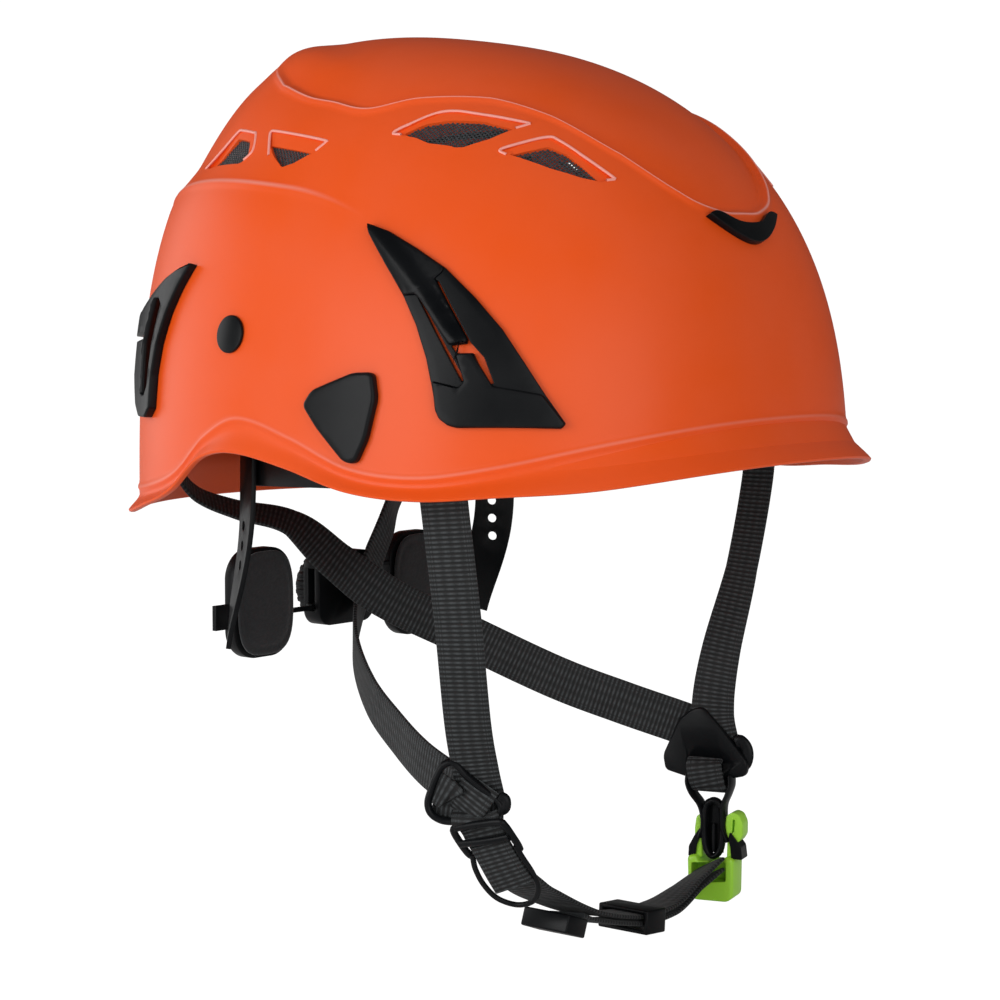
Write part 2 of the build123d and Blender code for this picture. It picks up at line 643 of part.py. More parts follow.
# ---- assembly -----------------------------------------------------------------------------
def make_parts():
    vent_mesh = make_vent_mesh()
    front_lamp = make_front_lamp_clip()
    rear_lamp = make_rear_lamp_clip()
    round_plug = make_round_plug()
    visor_plug = make_visor_plug()
    arm = make_arm()
    wing = make_wing()
    flipped_wing = Pos(0, 0, 2 * NAPE_Z) * mirror(mirrored(make_wing(-WING_DROP)), about=Plane.XY)
    pad = make_wing_pad()
    return {
        "shell": make_shell(),
        "vent_mesh_right": vent_mesh,
        "vent_mesh_left": mirrored(vent_mesh),
        "front_lamp_clip_right": front_lamp,
        "front_lamp_clip_left": mirrored(front_lamp),
        "rear_lamp_clip_right": rear_lamp,
        "rear_lamp_clip_left": mirrored(rear_lamp),
        "front_crest_clip": make_front_crest_clip(),
        "round_plug_right": round_plug,
        "round_plug_left": mirrored(round_plug),
        "visor_plug_right": visor_plug,
        "visor_plug_left": mirrored(visor_plug),
        "headband": make_headband(),
        "brow_pad": make_brow_pad(),
        "cradle_hangers": make_cradle_hangers(),
        "cradle_strap_lower": cradle_strap(42, 126.0),
        "cradle_strap_upper": cradle_strap(138, 129.5),
        "strap_anchors": make_strap_anchors(),
        "arm_right": arm,
        "arm_left": mirrored(arm),
        "nape_housing": make_nape_housing(),
        "nape_knob": make_nape_knob(),
        "wing_right": wing,
        "wing_left": flipped_wing,
        "wing_pad_right": pad,
        "wing_pad_left": mirrored(pad),
        "front_strap_right": make_front_strap_right(),
        "front_strap_left": make_front_strap_left(),
        "rear_strap_right": make_rear_strap_right(),
        "rear_strap_left": make_rear_strap_left(),
        "divider_right": make_divider_right(),
        "divider_left": make_divider_left(),
        "tongue_strap": make_tongue_strap(),
        "buckle_tongue": make_buckle_tongue(),
        "chin_strap": make_chin_strap(),
        "chin_strap_tail": make_chin_tail(),
        "tail_stop": make_tail_stop(),
        "strap_keeper": make_strap_keeper(),
        "slider_buckle": make_slider(),
        "pull_ring": make_pull_ring(),
        "buckle_body": make_buckle_body(),
        "buckle_lever_front": make_buckle_lever(-1),
        "buckle_lever_rear": make_buckle_lever(1),
    }


os.makedirs("parts", exist_ok=True)
for name, shape in make_parts().items():
    export_step(Compound(shape.solids()), f"parts/{name}.step")
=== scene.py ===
import json
import math

import bmesh
import bpy
from mathutils import Matrix, Vector


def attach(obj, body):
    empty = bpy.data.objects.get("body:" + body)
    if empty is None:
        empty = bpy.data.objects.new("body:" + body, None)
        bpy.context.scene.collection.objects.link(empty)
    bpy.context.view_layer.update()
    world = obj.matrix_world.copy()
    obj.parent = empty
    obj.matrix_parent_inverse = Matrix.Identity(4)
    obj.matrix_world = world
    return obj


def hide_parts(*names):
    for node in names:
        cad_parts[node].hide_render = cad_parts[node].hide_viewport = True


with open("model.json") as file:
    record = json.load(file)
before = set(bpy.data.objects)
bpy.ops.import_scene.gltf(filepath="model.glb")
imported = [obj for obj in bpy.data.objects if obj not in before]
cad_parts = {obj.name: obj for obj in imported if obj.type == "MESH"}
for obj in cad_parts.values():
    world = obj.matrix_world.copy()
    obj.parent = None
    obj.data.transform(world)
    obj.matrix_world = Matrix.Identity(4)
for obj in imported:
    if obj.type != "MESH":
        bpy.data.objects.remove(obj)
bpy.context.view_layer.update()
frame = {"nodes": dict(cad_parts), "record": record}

# ---- shell --------------------------------------------------------------------------------
# The hard outer shell is one injection moulding of ABS, about 3 mm thick. A recessed crest
# panel runs over the top, the rim turns outward below a moulded crease, and four vents with
# stepped lips are cut through each side.
MM = 0.001
SHELL_ORANGE = "EE5410"
SHELL_WALL = 3.0
SHOULDER_INSET = 2.9
CORNER_SWELL = 3.5
RIM_STATIONS = [
    (-128, 21.0, 35.0, 10.0), (-100, 13.6, 26.8, 7.0), (-75, 11.0, 20.0, 4.5), (-50, 9.0, 16.0, 3.2),
    (-25, 11.0, 18.0, 3.0), (0, 17.5, 27.0, 3.0), (25, 21.4, 32.5, 3.0), (42, 18.5, 26.0, 3.0),
    (60, 6.5, 13.0, 3.2), (80, 0.0, 7.0, 3.6), (105, -5.0, 4.0, 4.0), (140, -5.0, 4.0, 4.0),
]
CREST_FLANK = [
    (0, -104), (-12, -103), (-25, -97), (-37, -82), (-46, -60), (-53, -41), (-63, -19), (-70, -2),
    (-68, 18), (-61, 44), (-48, 70), (-24, 79), (0, 81),
]
VENTS = [
    (-151.5, 40.7, [(-19, 0.5), (-12, 3.5), (-3, 4.6), (8, 4.2), (19, 1.8), (11.5, -3.3), (3, -6.8), (-9, -4.6)],
        1.0, [(-23, 0.2), (-6, 8.6), (23, 4.6), (18, 1.0), (2, -8.6)]),
    (-132.0, 45.2, [(-14, 2.7), (-1, 5.4), (5, 2.6), (15.8, -7.6), (9, -6.6), (-1, -3.4)], 0.8, [(-17, 5.0),
        (-1, 9.6), (20, -6.8), (15, -9.2), (-12, 2.0)]),
    (169.0, 45.7, [(-12.5, 4.2), (11.5, 0.8), (5, -2.8), (0, -4.2), (-7, -0.2)], 0.7, [(-15.5, 10.2), (16, 4.8),
        (12, 0.0), (1, -4.4), (-13.5, 4.2)]),
    (151.0, 47.0, [(-15, -5), (-4.5, 6), (5, 4.8), (8, 0), (6, -3)], 1.0, [(-19, -6), (-6, 9.5), (7, 8.2), (12, 0),
        (8.5, -5)]),
]


def stretched(points):
    """The opening with its lower edge drawn 1.5 mm down the slope."""
    top, foot = max(y for _, y in points), min(y for _, y in points)
    return [(x, y - 1.5 * (top - y) / (top - foot)) for x, y in points]


VENTS = [(heading, tilt, stretched(points), radius, lip) for heading, tilt, points, radius, lip in VENTS]


def smooth_step(edge_low, edge_high, value):
    t = min(max((value - edge_low) / (edge_high - edge_low), 0.0), 1.0)
    return t * t * (3 - 2 * t)


def smooth_join(before, low, high, after, t):
    """Value at t between low and high on the smooth curve through all four."""
    curved = 3 * (low - high) + after - before
    bent = 2 * before - 5 * low + 4 * high - after
    return low + 0.5 * t * (high - before + t * (bent + t * curved))


def rear_turn(heading):
    """Heading in degrees from the front round to the rear, the same on both sides."""
    return abs(math.degrees(math.atan2(math.cos(heading), math.sin(heading))))


def shoulder_tilt(heading):
    """Tilt of the ridge along the rear shoulder."""
    turn = rear_turn(heading)
    return math.radians(50.6 + (0.0022 if turn < 84 else 0.009) * (turn - 84) ** 2)


def shoulder_fade(heading):
    """Strength of the ridge: full behind the temples, nothing beside the brow."""
    return 1 - smooth_step(74, 104, rear_turn(heading))


def shoulder_depth(tilt, heading):
    """How far the flat above the shoulder ridge lies inside the dome."""
    ridge = shoulder_tilt(heading)
    fall = smooth_step(0.48, 0.66, tilt) * (1 - smooth_step(ridge - 0.09, ridge + 0.03, tilt))
    behind = 1 - 0.75 * smooth_step(40, 100, rear_turn(heading))
    return SHOULDER_INSET * fall * shoulder_fade(heading) * behind


def crown_corner(tilt, heading):
    """How far the rear corners of the crown stand out of the dome."""
    swell = smooth_step(0.4, 0.58, tilt) * (1 - smooth_step(0.6, 0.88, tilt))
    return CORNER_SWELL * swell * (1 - smooth_step(46, 76, rear_turn(heading)))


def dome_skin(tilt, heading, rise=0.0):
    """Point of the outer skin in millimetres; rise moves it outward."""
    dx, dy, dz = math.sin(tilt) * math.cos(heading), math.sin(tilt) * math.sin(heading), math.cos(tilt)
    power = 2.5 + 0.3 * dy + 0.5 * dy * dy
    plan = abs(dx) ** 2.28 + abs(dy) ** 2.28
    size = (plan ** (power / 2.28) + abs(dz) ** power) ** (1 / power)
    lift = 1 + 0.106 * dy * dz
    inward = 1 - shoulder_depth(tilt, heading) / 130 + crown_corner(tilt, heading) / 150
    point = Vector((
        108 * dx / size * inward, 130 * dy * inward / size + 5.7, (169.5 * dz / size * lift - 7) * inward,
    ))
    if rise:
        point += skin_normal(tilt, heading) * rise
    return point


def skin_normal(tilt, heading):
    """Outward direction of the skin."""
    step = 0.003
    down = dome_skin(tilt + step, heading) - dome_skin(tilt - step, heading)
    if tilt < 0.02:
        return Vector((0, 0, 1))
    around = dome_skin(tilt, heading + step) - dome_skin(tilt, heading - step)
    return down.cross(around).normalized()


def rim_value(y, column):
    """Smooth value of one column of the rim stations at y."""
    rows = RIM_STATIONS
    y = min(max(y, rows[0][0]), rows[-1][0] - 0.001)
    i = max(k for k in range(len(rows) - 1) if rows[k][0] <= y)
    before, low, high, after = rows[max(i - 1, 0)], rows[i], rows[i + 1], rows[min(i + 2, len(rows) - 1)]
    span = high[0] - low[0]
    t = (y - low[0]) / span
    slope_low = (high[column] - before[column]) / (high[0] - before[0]) * span
    slope_high = (after[column] - low[column]) / (after[0] - low[0]) * span
    blend = t * t * (3 - 2 * t)
    ease = slope_low * t * (1 - t) ** 2 - slope_high * t * t * (1 - t)
    return low[column] * (1 - blend) + high[column] * blend + ease


def tilt_where(heading, test, low=0.05, high=1.75):
    """Tilt at which a test on the skin point changes from true to false."""
    for _ in range(24):
        middle = (low + high) / 2
        if test(dome_skin(middle, heading)):
            low = middle
        else:
            high = middle
    return low


def crest_reach(angle):
    """Distance from the middle of the dome to the crest edge, seen from above."""
    reach = CREST_POLAR
    angle = angle % (2 * math.pi)
    i = max(k for k in range(len(reach) - 1) if reach[k][0] <= angle)
    t = (angle - reach[i][0]) / (reach[i + 1][0] - reach[i][0])
    before, low, high = reach[max(i - 1, 0)][1], reach[i][1], reach[i + 1][1]
    after = reach[min(i + 2, len(reach) - 1)][1]
    return smooth_join(before, low, high, after, t)


outline = CREST_FLANK + [(-x, y) for x, y in CREST_FLANK[-2:0:-1]]
CREST_POLAR = sorted((math.atan2(y - 5.7, x) % (2 * math.pi), math.hypot(x, y - 5.7)) for x, y in outline)
CREST_POLAR = [(CREST_POLAR[-1][0] - 2 * math.pi, CREST_POLAR[-1][1])] + CREST_POLAR
CREST_POLAR.append((CREST_POLAR[1][0] + 2 * math.pi, CREST_POLAR[1][1]))


def shell_section(heading):
    """Points of one radial section, from the crown down the outside and back up inside."""
    angle = math.atan2(130 * math.sin(heading), 108 * math.cos(heading))
    reach = crest_reach(angle)
    crest = tilt_where(heading, lambda p: math.hypot(p.x, p.y - 5.7) < reach)
    crest -= min(0.0035 * max(60 - rear_turn(heading), 0), 0.15)
    crease = tilt_where(heading, lambda p: p.z > rim_value(p.y, 2))
    rim_tilt = tilt_where(heading, lambda p: p.z > rim_value(p.y, 1))
    rim = dome_skin(rim_tilt, heading)
    normal = skin_normal(rim_tilt, heading)
    flat = Vector((normal.x, normal.y, 0)).normalized()
    flare = rim_value(rim.y, 3)
    points = []
    inner_edge = crest - 0.028
    sunk = smooth_step(38, 62, rear_turn(heading))
    for i in range(27):
        depth = -0.35 - (2.4 * sunk - 1.0) * (i / 26) ** 3
        points.append(dome_skin(max(inner_edge * i / 26, 1e-4), heading, depth))
    for step, rise in ((-0.021, -1.75), (-0.015, -1.4), (-0.010, -0.6), (-0.005, 0.4), (-0.001, 0.85), (0.004, 0.8),
        (0.010, 0.35), (0.018, 0.0)):
        level = 0.65 * (1 - sunk) * (1 - smooth_step(-0.02, 0.02, step))
        points.append(dome_skin(crest + step, heading, rise * sunk + level))
    start, end = crest + 0.026, crease - 0.02
    ridge = min(max(shoulder_tilt(heading), start + 0.1), end - 0.1)
    bead = shoulder_fade(heading)
    for i in range(22):
        points.append(dome_skin(start + (ridge - 0.04 - start) * i / 21, heading))
    for step, rise in ((-0.030, 0.0), (-0.020, 0.05), (-0.011, 0.2), (-0.003, 0.5), (0.004, 0.5), (0.011, 0.12),
        (0.019, 0.0)):
        points.append(dome_skin(ridge + step, heading, rise * bead))
    for i in range(24):
        points.append(dome_skin(ridge + 0.03 + (end - ridge - 0.03) * i / 23, heading))
    for step, rise in ((-0.014, 0.0), (-0.008, 0.1), (-0.0035, 0.5), (0.0015, 0.55), (0.006, 0.1)):
        points.append(dome_skin(crease + step, heading, rise))
    top = dome_skin(crease + 0.011, heading, -0.1)
    low = rim + flat * flare + Vector((0, 0, 0.9))
    for i in range(1, 10):
        t = i / 9
        straight = top.lerp(low, t)
        on_skin = dome_skin(crease + 0.011 + (rim_tilt - crease - 0.011) * t, heading, -0.1)
        cove = on_skin.lerp(straight, 1 - (1 - t) ** 2)
        points.append(cove)
    edge = rim + flat * flare
    points += [edge + flat * -0.25 + Vector((0, 0, 0.25)), edge - flat * 0.9, edge - flat * 1.9]
    points += [edge - flat * 2.6 + Vector((0, 0, 0.3)), edge - flat * 2.9 + Vector((0, 0, 1.2))]
    inside = dome_skin(crease - 0.03, heading, -SHELL_WALL)
    base = points[-1]
    for i in range(1, 5):
        points.append(base.lerp(inside, i / 5))
    for i in range(25):
        tilt = max((crease - 0.03) * (1 - i / 24), 1e-4)
        points.append(dome_skin(tilt, heading, -SHELL_WALL - 0.5 * smooth_step(crest + 0.02, crest - 0.05, tilt)))
    return [p * MM for p in points]


def new_object(name, bm):
    """Mesh object at the origin from a finished bmesh, shaded smooth between its sharp edges."""
    mesh = bpy.data.meshes.new(name)
    bm.to_mesh(mesh)
    bm.free()
    obj = bpy.data.objects.new(name, mesh)
    bpy.context.scene.collection.objects.link(obj)
    mesh.polygons.foreach_set("use_smooth", [True] * len(mesh.polygons))
    mesh.set_sharp_from_angle(angle=math.radians(38))
    return obj


def merge_part(bm, part):
    """Moves the geometry of one part into the mesh of its piece."""
    mesh = bpy.data.meshes.new("part")
    part.to_mesh(mesh)
    part.free()
    bm.from_mesh(mesh)
    bpy.data.meshes.remove(mesh)


CREST_RING, SHOULDER_RING, CREASE_RING = 31, 60, 90
# Painted highlights: paler lines painted along the crest edge, the shoulder ridge and the crease, stored per vertex
# for the shell's colour.
PAINTED_HIGHLIGHTS = {}


def make_shell(count=400):
    sections = [shell_section(2 * math.pi * i / count) for i in range(count)]
    rings = len(sections[0]) - 1
    bm = bmesh.new()
    bmesh.ops.create_grid(bm, x_segments=count, y_segments=rings, size=1)
    for vert in bm.verts:
        i = round((vert.co.x + 1) / 2 * count) % count
        j = round((vert.co.y + 1) / 2 * rings)
        vert.co = sections[i][j]
        heading = 2 * math.pi * i / count
        # Painted highlight: how strongly each ridge ring is painted paler.
        shine = {
            CREST_RING: 0.8 * smooth_step(36, 62, rear_turn(heading)),
            SHOULDER_RING: 0.5 * shoulder_fade(heading),
            CREASE_RING: 0.22,
        }
        if shine.get(j):
            PAINTED_HIGHLIGHTS[tuple(round(c * 1e6) for c in vert.co)] = shine[j]
    bmesh.ops.remove_doubles(bm, verts=bm.verts, dist=0.00002)
    bmesh.ops.recalc_face_normals(bm, faces=bm.faces)
    return new_object("shell_moulding", bm)


def on_skin(heading_deg, tilt_deg, u, v):
    """Tilt and heading of the skin point that sits at (u, v) on a tangent plane."""
    heading, tilt = math.radians(heading_deg), math.radians(tilt_deg)
    origin, normal = dome_skin(tilt, heading), skin_normal(tilt, heading)
    level = Vector((0, 0, 1)).cross(normal).normalized()
    upward = normal.cross(level)
    target = origin + level * u + upward * v
    t, h = tilt, heading
    for _ in range(6):
        here = dome_skin(t, h)
        a, b = (dome_skin(t + 0.002, h) - here) / 0.002, (dome_skin(t, h + 0.002) - here) / 0.002
        gap = target - here
        gu, gv = gap.dot(level), gap.dot(upward)
        au, av, bu, bv = a.dot(level), a.dot(upward), b.dot(level), b.dot(upward)
        det = au * bv - av * bu
        t += (gu * bv - gv * bu) / det
        h += (au * gv - av * gu) / det
    return t, h


def skin_block(name, heading, tilt, points, radius, low, high, side=1, edge=0.0, grain=5.0):
    """Closed block that follows the dome; low and high are rises, or functions of the place on it."""
    bm = bmesh.new()
    bm.faces.new([bm.verts.new((x, y, 0)) for x, y in points])
    if radius:
        bmesh.ops.bevel(
            bm, geom=bm.verts[:], offset=radius, offset_type="OFFSET", segments=5, profile=0.5,
            affect="VERTICES", material=-1
        )
    for _ in range(4):
        bmesh.ops.triangulate(bm, faces=[f for f in bm.faces if len(f.verts) > 3])
        bmesh.ops.subdivide_edges(bm, edges=[e for e in bm.edges if e.calc_length() > grain], cuts=1)
    bmesh.ops.triangulate(bm, faces=[f for f in bm.faces if len(f.verts) > 3])
    flat = [(v.co.x, v.co.y) for v in bm.verts]
    places = [on_skin(heading, tilt, x, y) for x, y in flat]
    count = len(flat)
    bm.verts.index_update()
    for i, vert in enumerate(bm.verts):
        vert.co = dome_skin(*places[i], low(*flat[i]) if callable(low) else low)
    numbers = {tuple(v.co): i for i, v in enumerate(bm.verts)}
    top = bmesh.ops.extrude_face_region(bm, geom=bm.faces[:])
    raised = [g for g in top["geom"] if isinstance(g, bmesh.types.BMVert)]
    for vert in raised:
        i = numbers[tuple(vert.co)]
        vert.co = dome_skin(*places[i], high(*flat[i]) if callable(high) else high)
    bmesh.ops.recalc_face_normals(bm, faces=bm.faces)
    if edge:
        upper = set(raised)
        sharp = [e for e in bm.edges if e.verts[0] in upper and e.verts[1] in upper and e.calc_face_angle(0) > 0.9]
        bmesh.ops.bevel(
            bm, geom=sharp, offset=edge, offset_type="OFFSET", segments=3, profile=0.5, affect="EDGES", material=-1
        )
    for vert in bm.verts:
        vert.co = Vector((vert.co.x * side, vert.co.y, vert.co.z)) * MM
    bmesh.ops.recalc_face_normals(bm, faces=bm.faces)
    return new_object(name, bm)


def cut(obj, cutters):
    """Takes the cutters away from obj and leaves a finished mesh."""
    for cutter in cutters:
        tool = obj.modifiers.new("cut", "BOOLEAN")
        tool.operation = "DIFFERENCE"
        tool.solver = "EXACT"
        tool.object = cutter
    graph = bpy.context.evaluated_depsgraph_get()
    finished = bpy.data.meshes.new_from_object(obj.evaluated_get(graph))
    obj.modifiers.clear()
    obj.data = finished
    for cutter in cutters:
        bpy.data.objects.remove(cutter)


shell = make_shell()
for side in (1, -1):
    cutters = []
    for heading, tilt, points, radius, lip in VENTS:
        foot, brow = min(y for x, y in lip), max(y for x, y in lip)
        slope = lambda x, y: -1.5 + 1.1 * (y - foot) / (brow - foot)
        cutters.append(skin_block("lip_cutter", heading, tilt, lip, radius + 0.8, slope, 6, side))
        cutters.append(skin_block("vent_cutter", heading, tilt, points, radius, -8, 6, side))
    cut(shell, cutters)
shell.data.set_sharp_from_angle(angle=math.radians(38))
# Writes the painted highlight lines onto the shell's vertices.
painted_highlight_lines = shell.data.attributes.new("painted_highlight", "FLOAT", "POINT")
for index, vert in enumerate(shell.data.vertices):
    painted_highlight_lines.data[index].value = PAINTED_HIGHLIGHTS.get(tuple(round(c * 1e6) for c in vert.co), 0.0)


def linear(hex_colour):
    """Linear RGBA of an sRGB hex colour."""
    channels = [int(hex_colour[i : i + 2], 16) / 255 for i in (0, 2, 4)]
    return [c / 12.92 if c <= 0.04045 else ((c + 0.055) / 1.055) ** 2.4 for c in channels] + [1.0]


def add(tree, kind, values=None, links=None, **settings):
    """One node with its settings, its socket values and its links."""
    node = tree.nodes.new(kind)
    for name, value in settings.items():
        setattr(node, name, value)
    for socket, value in (values or {}).items():
        node.inputs[socket].default_value = value
    for socket, source in (links or {}).items():
        tree.links.new(source, node.inputs[socket])
    return node


def new_material(name):
    """Material with an empty tree; its output follows the surface given to finish_material."""
    material = bpy.data.materials.new(name)
    material.use_nodes = True
    material.node_tree.nodes.clear()
    return material


def finish_material(material, surface):
    add(material.node_tree, "ShaderNodeOutputMaterial", links={"Surface": surface})
    return material


def set_material(obj, material):
    obj.data.materials.clear()
    obj.data.materials.append(material)


def moulded_plastic(name, colour, rough, grain, depth, worn=0.06, sheen=0.5, arris=0.5):
    """Moulded plastic: the tool's fine texture in the bump, a little unevenness in the gloss, and paler painted
    highlight lines where the mesh carries them.
    """
    material = new_material(name)
    tree = material.node_tree
    place = add(tree, "ShaderNodeTexCoord")
    fine = add(tree, "ShaderNodeTexNoise", {"Scale": 1000 / grain, "Detail": 2.0},
        {"Vector": place.outputs["Object"]})
    broad = add(tree, "ShaderNodeTexNoise", {"Scale": 28.0, "Detail": 3.0}, {"Vector": place.outputs["Object"]})
    bump = add(tree, "ShaderNodeBump", {"Strength": 0.35, "Distance": depth * MM}, {"Height": fine.outputs["Fac"]})
    if arris:
        rounded = add(tree, "ShaderNodeBevel", {"Radius": arris * MM}, samples=6)
        tree.links.new(rounded.outputs["Normal"], bump.inputs["Normal"])
    gloss = add(tree, "ShaderNodeMapRange", {"To Min": rough - 0.05, "To Max": rough + 0.07},
        {"Value": broad.outputs["Fac"]})
    base = linear(colour)
    paler = [c + (1 - c) * worn * 0.5 for c in base[:3]] + [1.0]
    ramp = add(tree, "ShaderNodeValToRGB", links={"Fac": broad.outputs["Fac"]})
    ramp.color_ramp.elements[0].position, ramp.color_ramp.elements[0].color = 0.3, base
    ramp.color_ramp.elements[1].position, ramp.color_ramp.elements[1].color = 0.8, paler
    # Painted highlights: where the painted_highlight attribute is set, the colour is mixed towards a pale tint of
    # the base.
    line = add(tree, "ShaderNodeAttribute", attribute_name="painted_highlight")
    highlight_amount = add(tree, "ShaderNodeMath", {1: 0.5}, {0: line.outputs["Fac"]}, operation="MULTIPLY")
    pale = [c + (1 - c) * 0.75 for c in base[:3]] + [1.0]
    tone_and_painted_highlight = add(tree, "ShaderNodeMix", {7: pale}, {0: highlight_amount.outputs["Value"], 6: ramp.outputs["Color"]},
        data_type="RGBA")
    shader = add(
        tree,
        "ShaderNodeBsdfPrincipled",
        {"IOR": 1.5, "Specular IOR Level": sheen},
        {"Base Color": tone_and_painted_highlight.outputs[2], "Roughness": gloss.outputs["Result"], "Normal": bump.outputs["Normal"]},
    )
    return finish_material(material, shader.outputs["BSDF"])


shell_plastic = moulded_plastic("satin_moulded_abs", SHELL_ORANGE, 0.4, 1.2, 0.02, 0.03, 0.28, 0)
set_material(shell, shell_plastic)
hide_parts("shell")
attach(shell, "helmet")

# ---- clips and plugs ----------------------------------------------------------------------
# The lamp clips, the front clip and the plugs are moulded in black nylon and pressed into
# the shell. Their tools are spark-eroded, which leaves a fine matt grain.
black_nylon = moulded_plastic("spark_textured_nylon", "06080B", 0.33, 0.5, 0.03, 0.02, 0.15)
body_of_node = {n: body for body, names in frame["record"]["behaviour"]["bodies"].items() for n in names}


def softened(node_name, width, material, angle=32):
    """The moulding with its edges rounded, in place of the sharp-edged CAD node."""
    bm = bmesh.new()
    bm.from_mesh(frame["nodes"][node_name].data)
    bmesh.ops.remove_doubles(bm, verts=bm.verts, dist=0.000004)
    bmesh.ops.dissolve_limit(bm, angle_limit=math.radians(2.5), verts=bm.verts, edges=bm.edges)
    bmesh.ops.dissolve_degenerate(bm, dist=0.00005, edges=bm.edges)
    sharp = [e for e in bm.edges if e.is_manifold and e.calc_face_angle(0) > math.radians(angle)]
    bmesh.ops.bevel(
        bm, geom=sharp, offset=width * MM, offset_type="OFFSET", segments=2, profile=0.5,
        affect="EDGES", clamp_overlap=True, material=-1,
    )
    bmesh.ops.triangulate(bm, faces=[f for f in bm.faces if len(f.verts) > 4])
    obj = new_object(node_name + "_moulding", bm)
    set_material(obj, material)
    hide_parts(node_name)
    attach(obj, body_of_node[node_name])
    return obj


def join(name, objects):
    """One object from several closed meshes."""
    bm = bmesh.new()
    for obj in objects:
        bm.from_mesh(obj.data)
        bpy.data.objects.remove(obj)
    return new_object(name, bm)


def crown_rise(low, extra):
    """Rise that swells along the clip's spine, from its tip down the tongue."""
    spine = [(-30, 35.5), (-17.1, 22.2), (-9, 13.2), (-0.4, 1.6), (3.6, -1.9)]

    def rise(x, y):
        gap = 1e9
        for (ax, ay), (bx, by) in zip(spine, spine[1:]):
            t = min(max(((x - ax) * (bx - ax) + (y - ay) * (by - ay)) / ((bx - ax) ** 2 + (by - ay) ** 2), 0), 1)
            gap = min(gap, math.hypot(ax + t * (bx - ax) - x, ay + t * (by - ay) - y))
        return low + extra * (1 - smooth_step(0, 4.6, gap))

    return rise


FIN_OUTLINE = [(-31.6, 37.6), (-23.6, 34.8), (-13.1, 28.9), (-2.2, 22.1), (8.5, 12.6), (17.9, 2.7), (25.5, -7.7),
               (32.1, -17.2), (38.6, -26.0), (37.3, -27.6), (4.8, -28.8), (1.8, -28.1), (-0.9, -26.2),
               (-2.3, -23.4), (-3.8, -16.3), (-6.3, -7.0), (-10.6, 3.8), (-15.7, 13.0), (-22.9, 23.1),
               (-30.1, 33.6)]
FIN_UPPER = [
    (-31.4, 37.3), (-23.6, 34.6), (-13.1, 28.7), (-2.7, 22.2), (-3.2, 20.4), (-5.4, 18.7), (7.3, -1.1), (6.7, -2.0),
    (1.4, -2.7), (-9.5, 11.8), (-11.4, 13.5), (-15.4, 13.2), (-22.8, 23.1), (-30.0, 33.6),
]
FIN_FOOT = [
    (-3.6, -14.4), (5.1, -16.3), (6.9, -14.3), (3.9, -6.2), (4.4, -5.5), (9.0, -5.4), (16.0, -15.6), (31.2, -17.5),
    (38.2, -26.0), (37.2, -27.4), (4.8, -28.6), (1.8, -27.9), (-0.8, -26.1), (-2.2, -23.4),
]
FIN_GAP = [
    (-4.9, 18.0), (-3.9, 17.7), (8.2, -1.8), (12.9, -6.6), (16.4, -14.6), (15.1, -14.8), (11.6, -9.4), (9.3, -5.2),
    (3.8, -5.4), (1.9, -2.9), (7.1, -2.2),
]
BACK_OUTLINE = [
    (23, 28), (14, 25.5), (6.5, 22.5), (-1.5, 18.2), (-8.5, 14.5), (-15, 11.5), (-20, 9.5), (-22, 2), (-19.5, 0.5),
    (-20.5, -12), (-15, -22), (-9, -26), (-1, -26), (3.6, -22.5), (4.2, -11), (6.7, -0.3), (11.5, 10.5), (17, 19.5),
]
BACK_SLOT = [(-1.5, 15.5), (4.0, 15.6), (6.5, 13.5), (2.2, -1), (0.8, -15), (-2, -18.5), (-6.5, -18), (-7.8, -1)]
FIN_GROOVE = [(-10.4, 12.3), (-9.2, 11.8), (7.0, -13.6), (6.0, -14.3)]
for side, name in ((1, "right"), (-1, "left")):
    base = skin_block("fin_base", -151.0, 67.4, FIN_OUTLINE, 0.5, 0.2, 1.7, side, 0.35, 4.0)
    cut(base, [
        skin_block("fin_gap", -151.0, 67.4, FIN_GAP, 0.2, -1, 6, side),
        skin_block("fin_groove", -151.0, 67.4, FIN_GROOVE, 0, -1, 6, side),
    ])
    upper = skin_block("fin_upper", -151.0, 67.4, FIN_UPPER, 0.6, 0.3, crown_rise(2.3, 1.2), side, 0.45, 2.2)
    foot = skin_block("fin_foot", -151.0, 67.4, FIN_FOOT, 0.5, 0.3, 2.6, side, 0.4, 4.0)
    fin = join("front_lamp_clip_moulding_" + name, [base, upper, foot])
    set_material(fin, black_nylon)
    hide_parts("front_lamp_clip_" + name)
    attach(fin, "helmet")
    back = skin_block("back_clip", 146.0, 70.1, BACK_OUTLINE, 0.6, 0.2, 3.2, side, 0.6, 4.0)
    cut(back, [
        skin_block("back_slot", 146.0, 70.1, BACK_SLOT, 0.8, -1, 8, side),
        skin_block("back_notch", 146.0, 70.1, [(-26, 1.2), (-8, 3.2), (-8, 1.0), (-26, -1.0)], 0, -1, 8, side),
    ])
    set_material(back, black_nylon)
    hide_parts("rear_lamp_clip_" + name)
    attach(back, "helmet")
    plug_shape = [(-15.5, 2), (-12, 7), (4, 13), (11.5, 13.3), (13.3, 5), (10.5, -8), (6.5, -16.2), (2, -15.8),
        (-9.5, -5)]
    plug = skin_block("visor_plug_moulding_" + name, -167.5, 75.5, plug_shape, 1.8, 0.2, 3.0, side, 1.2, 4.0)
    set_material(plug, black_nylon)
    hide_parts("visor_plug_" + name)
    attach(plug, "helmet")

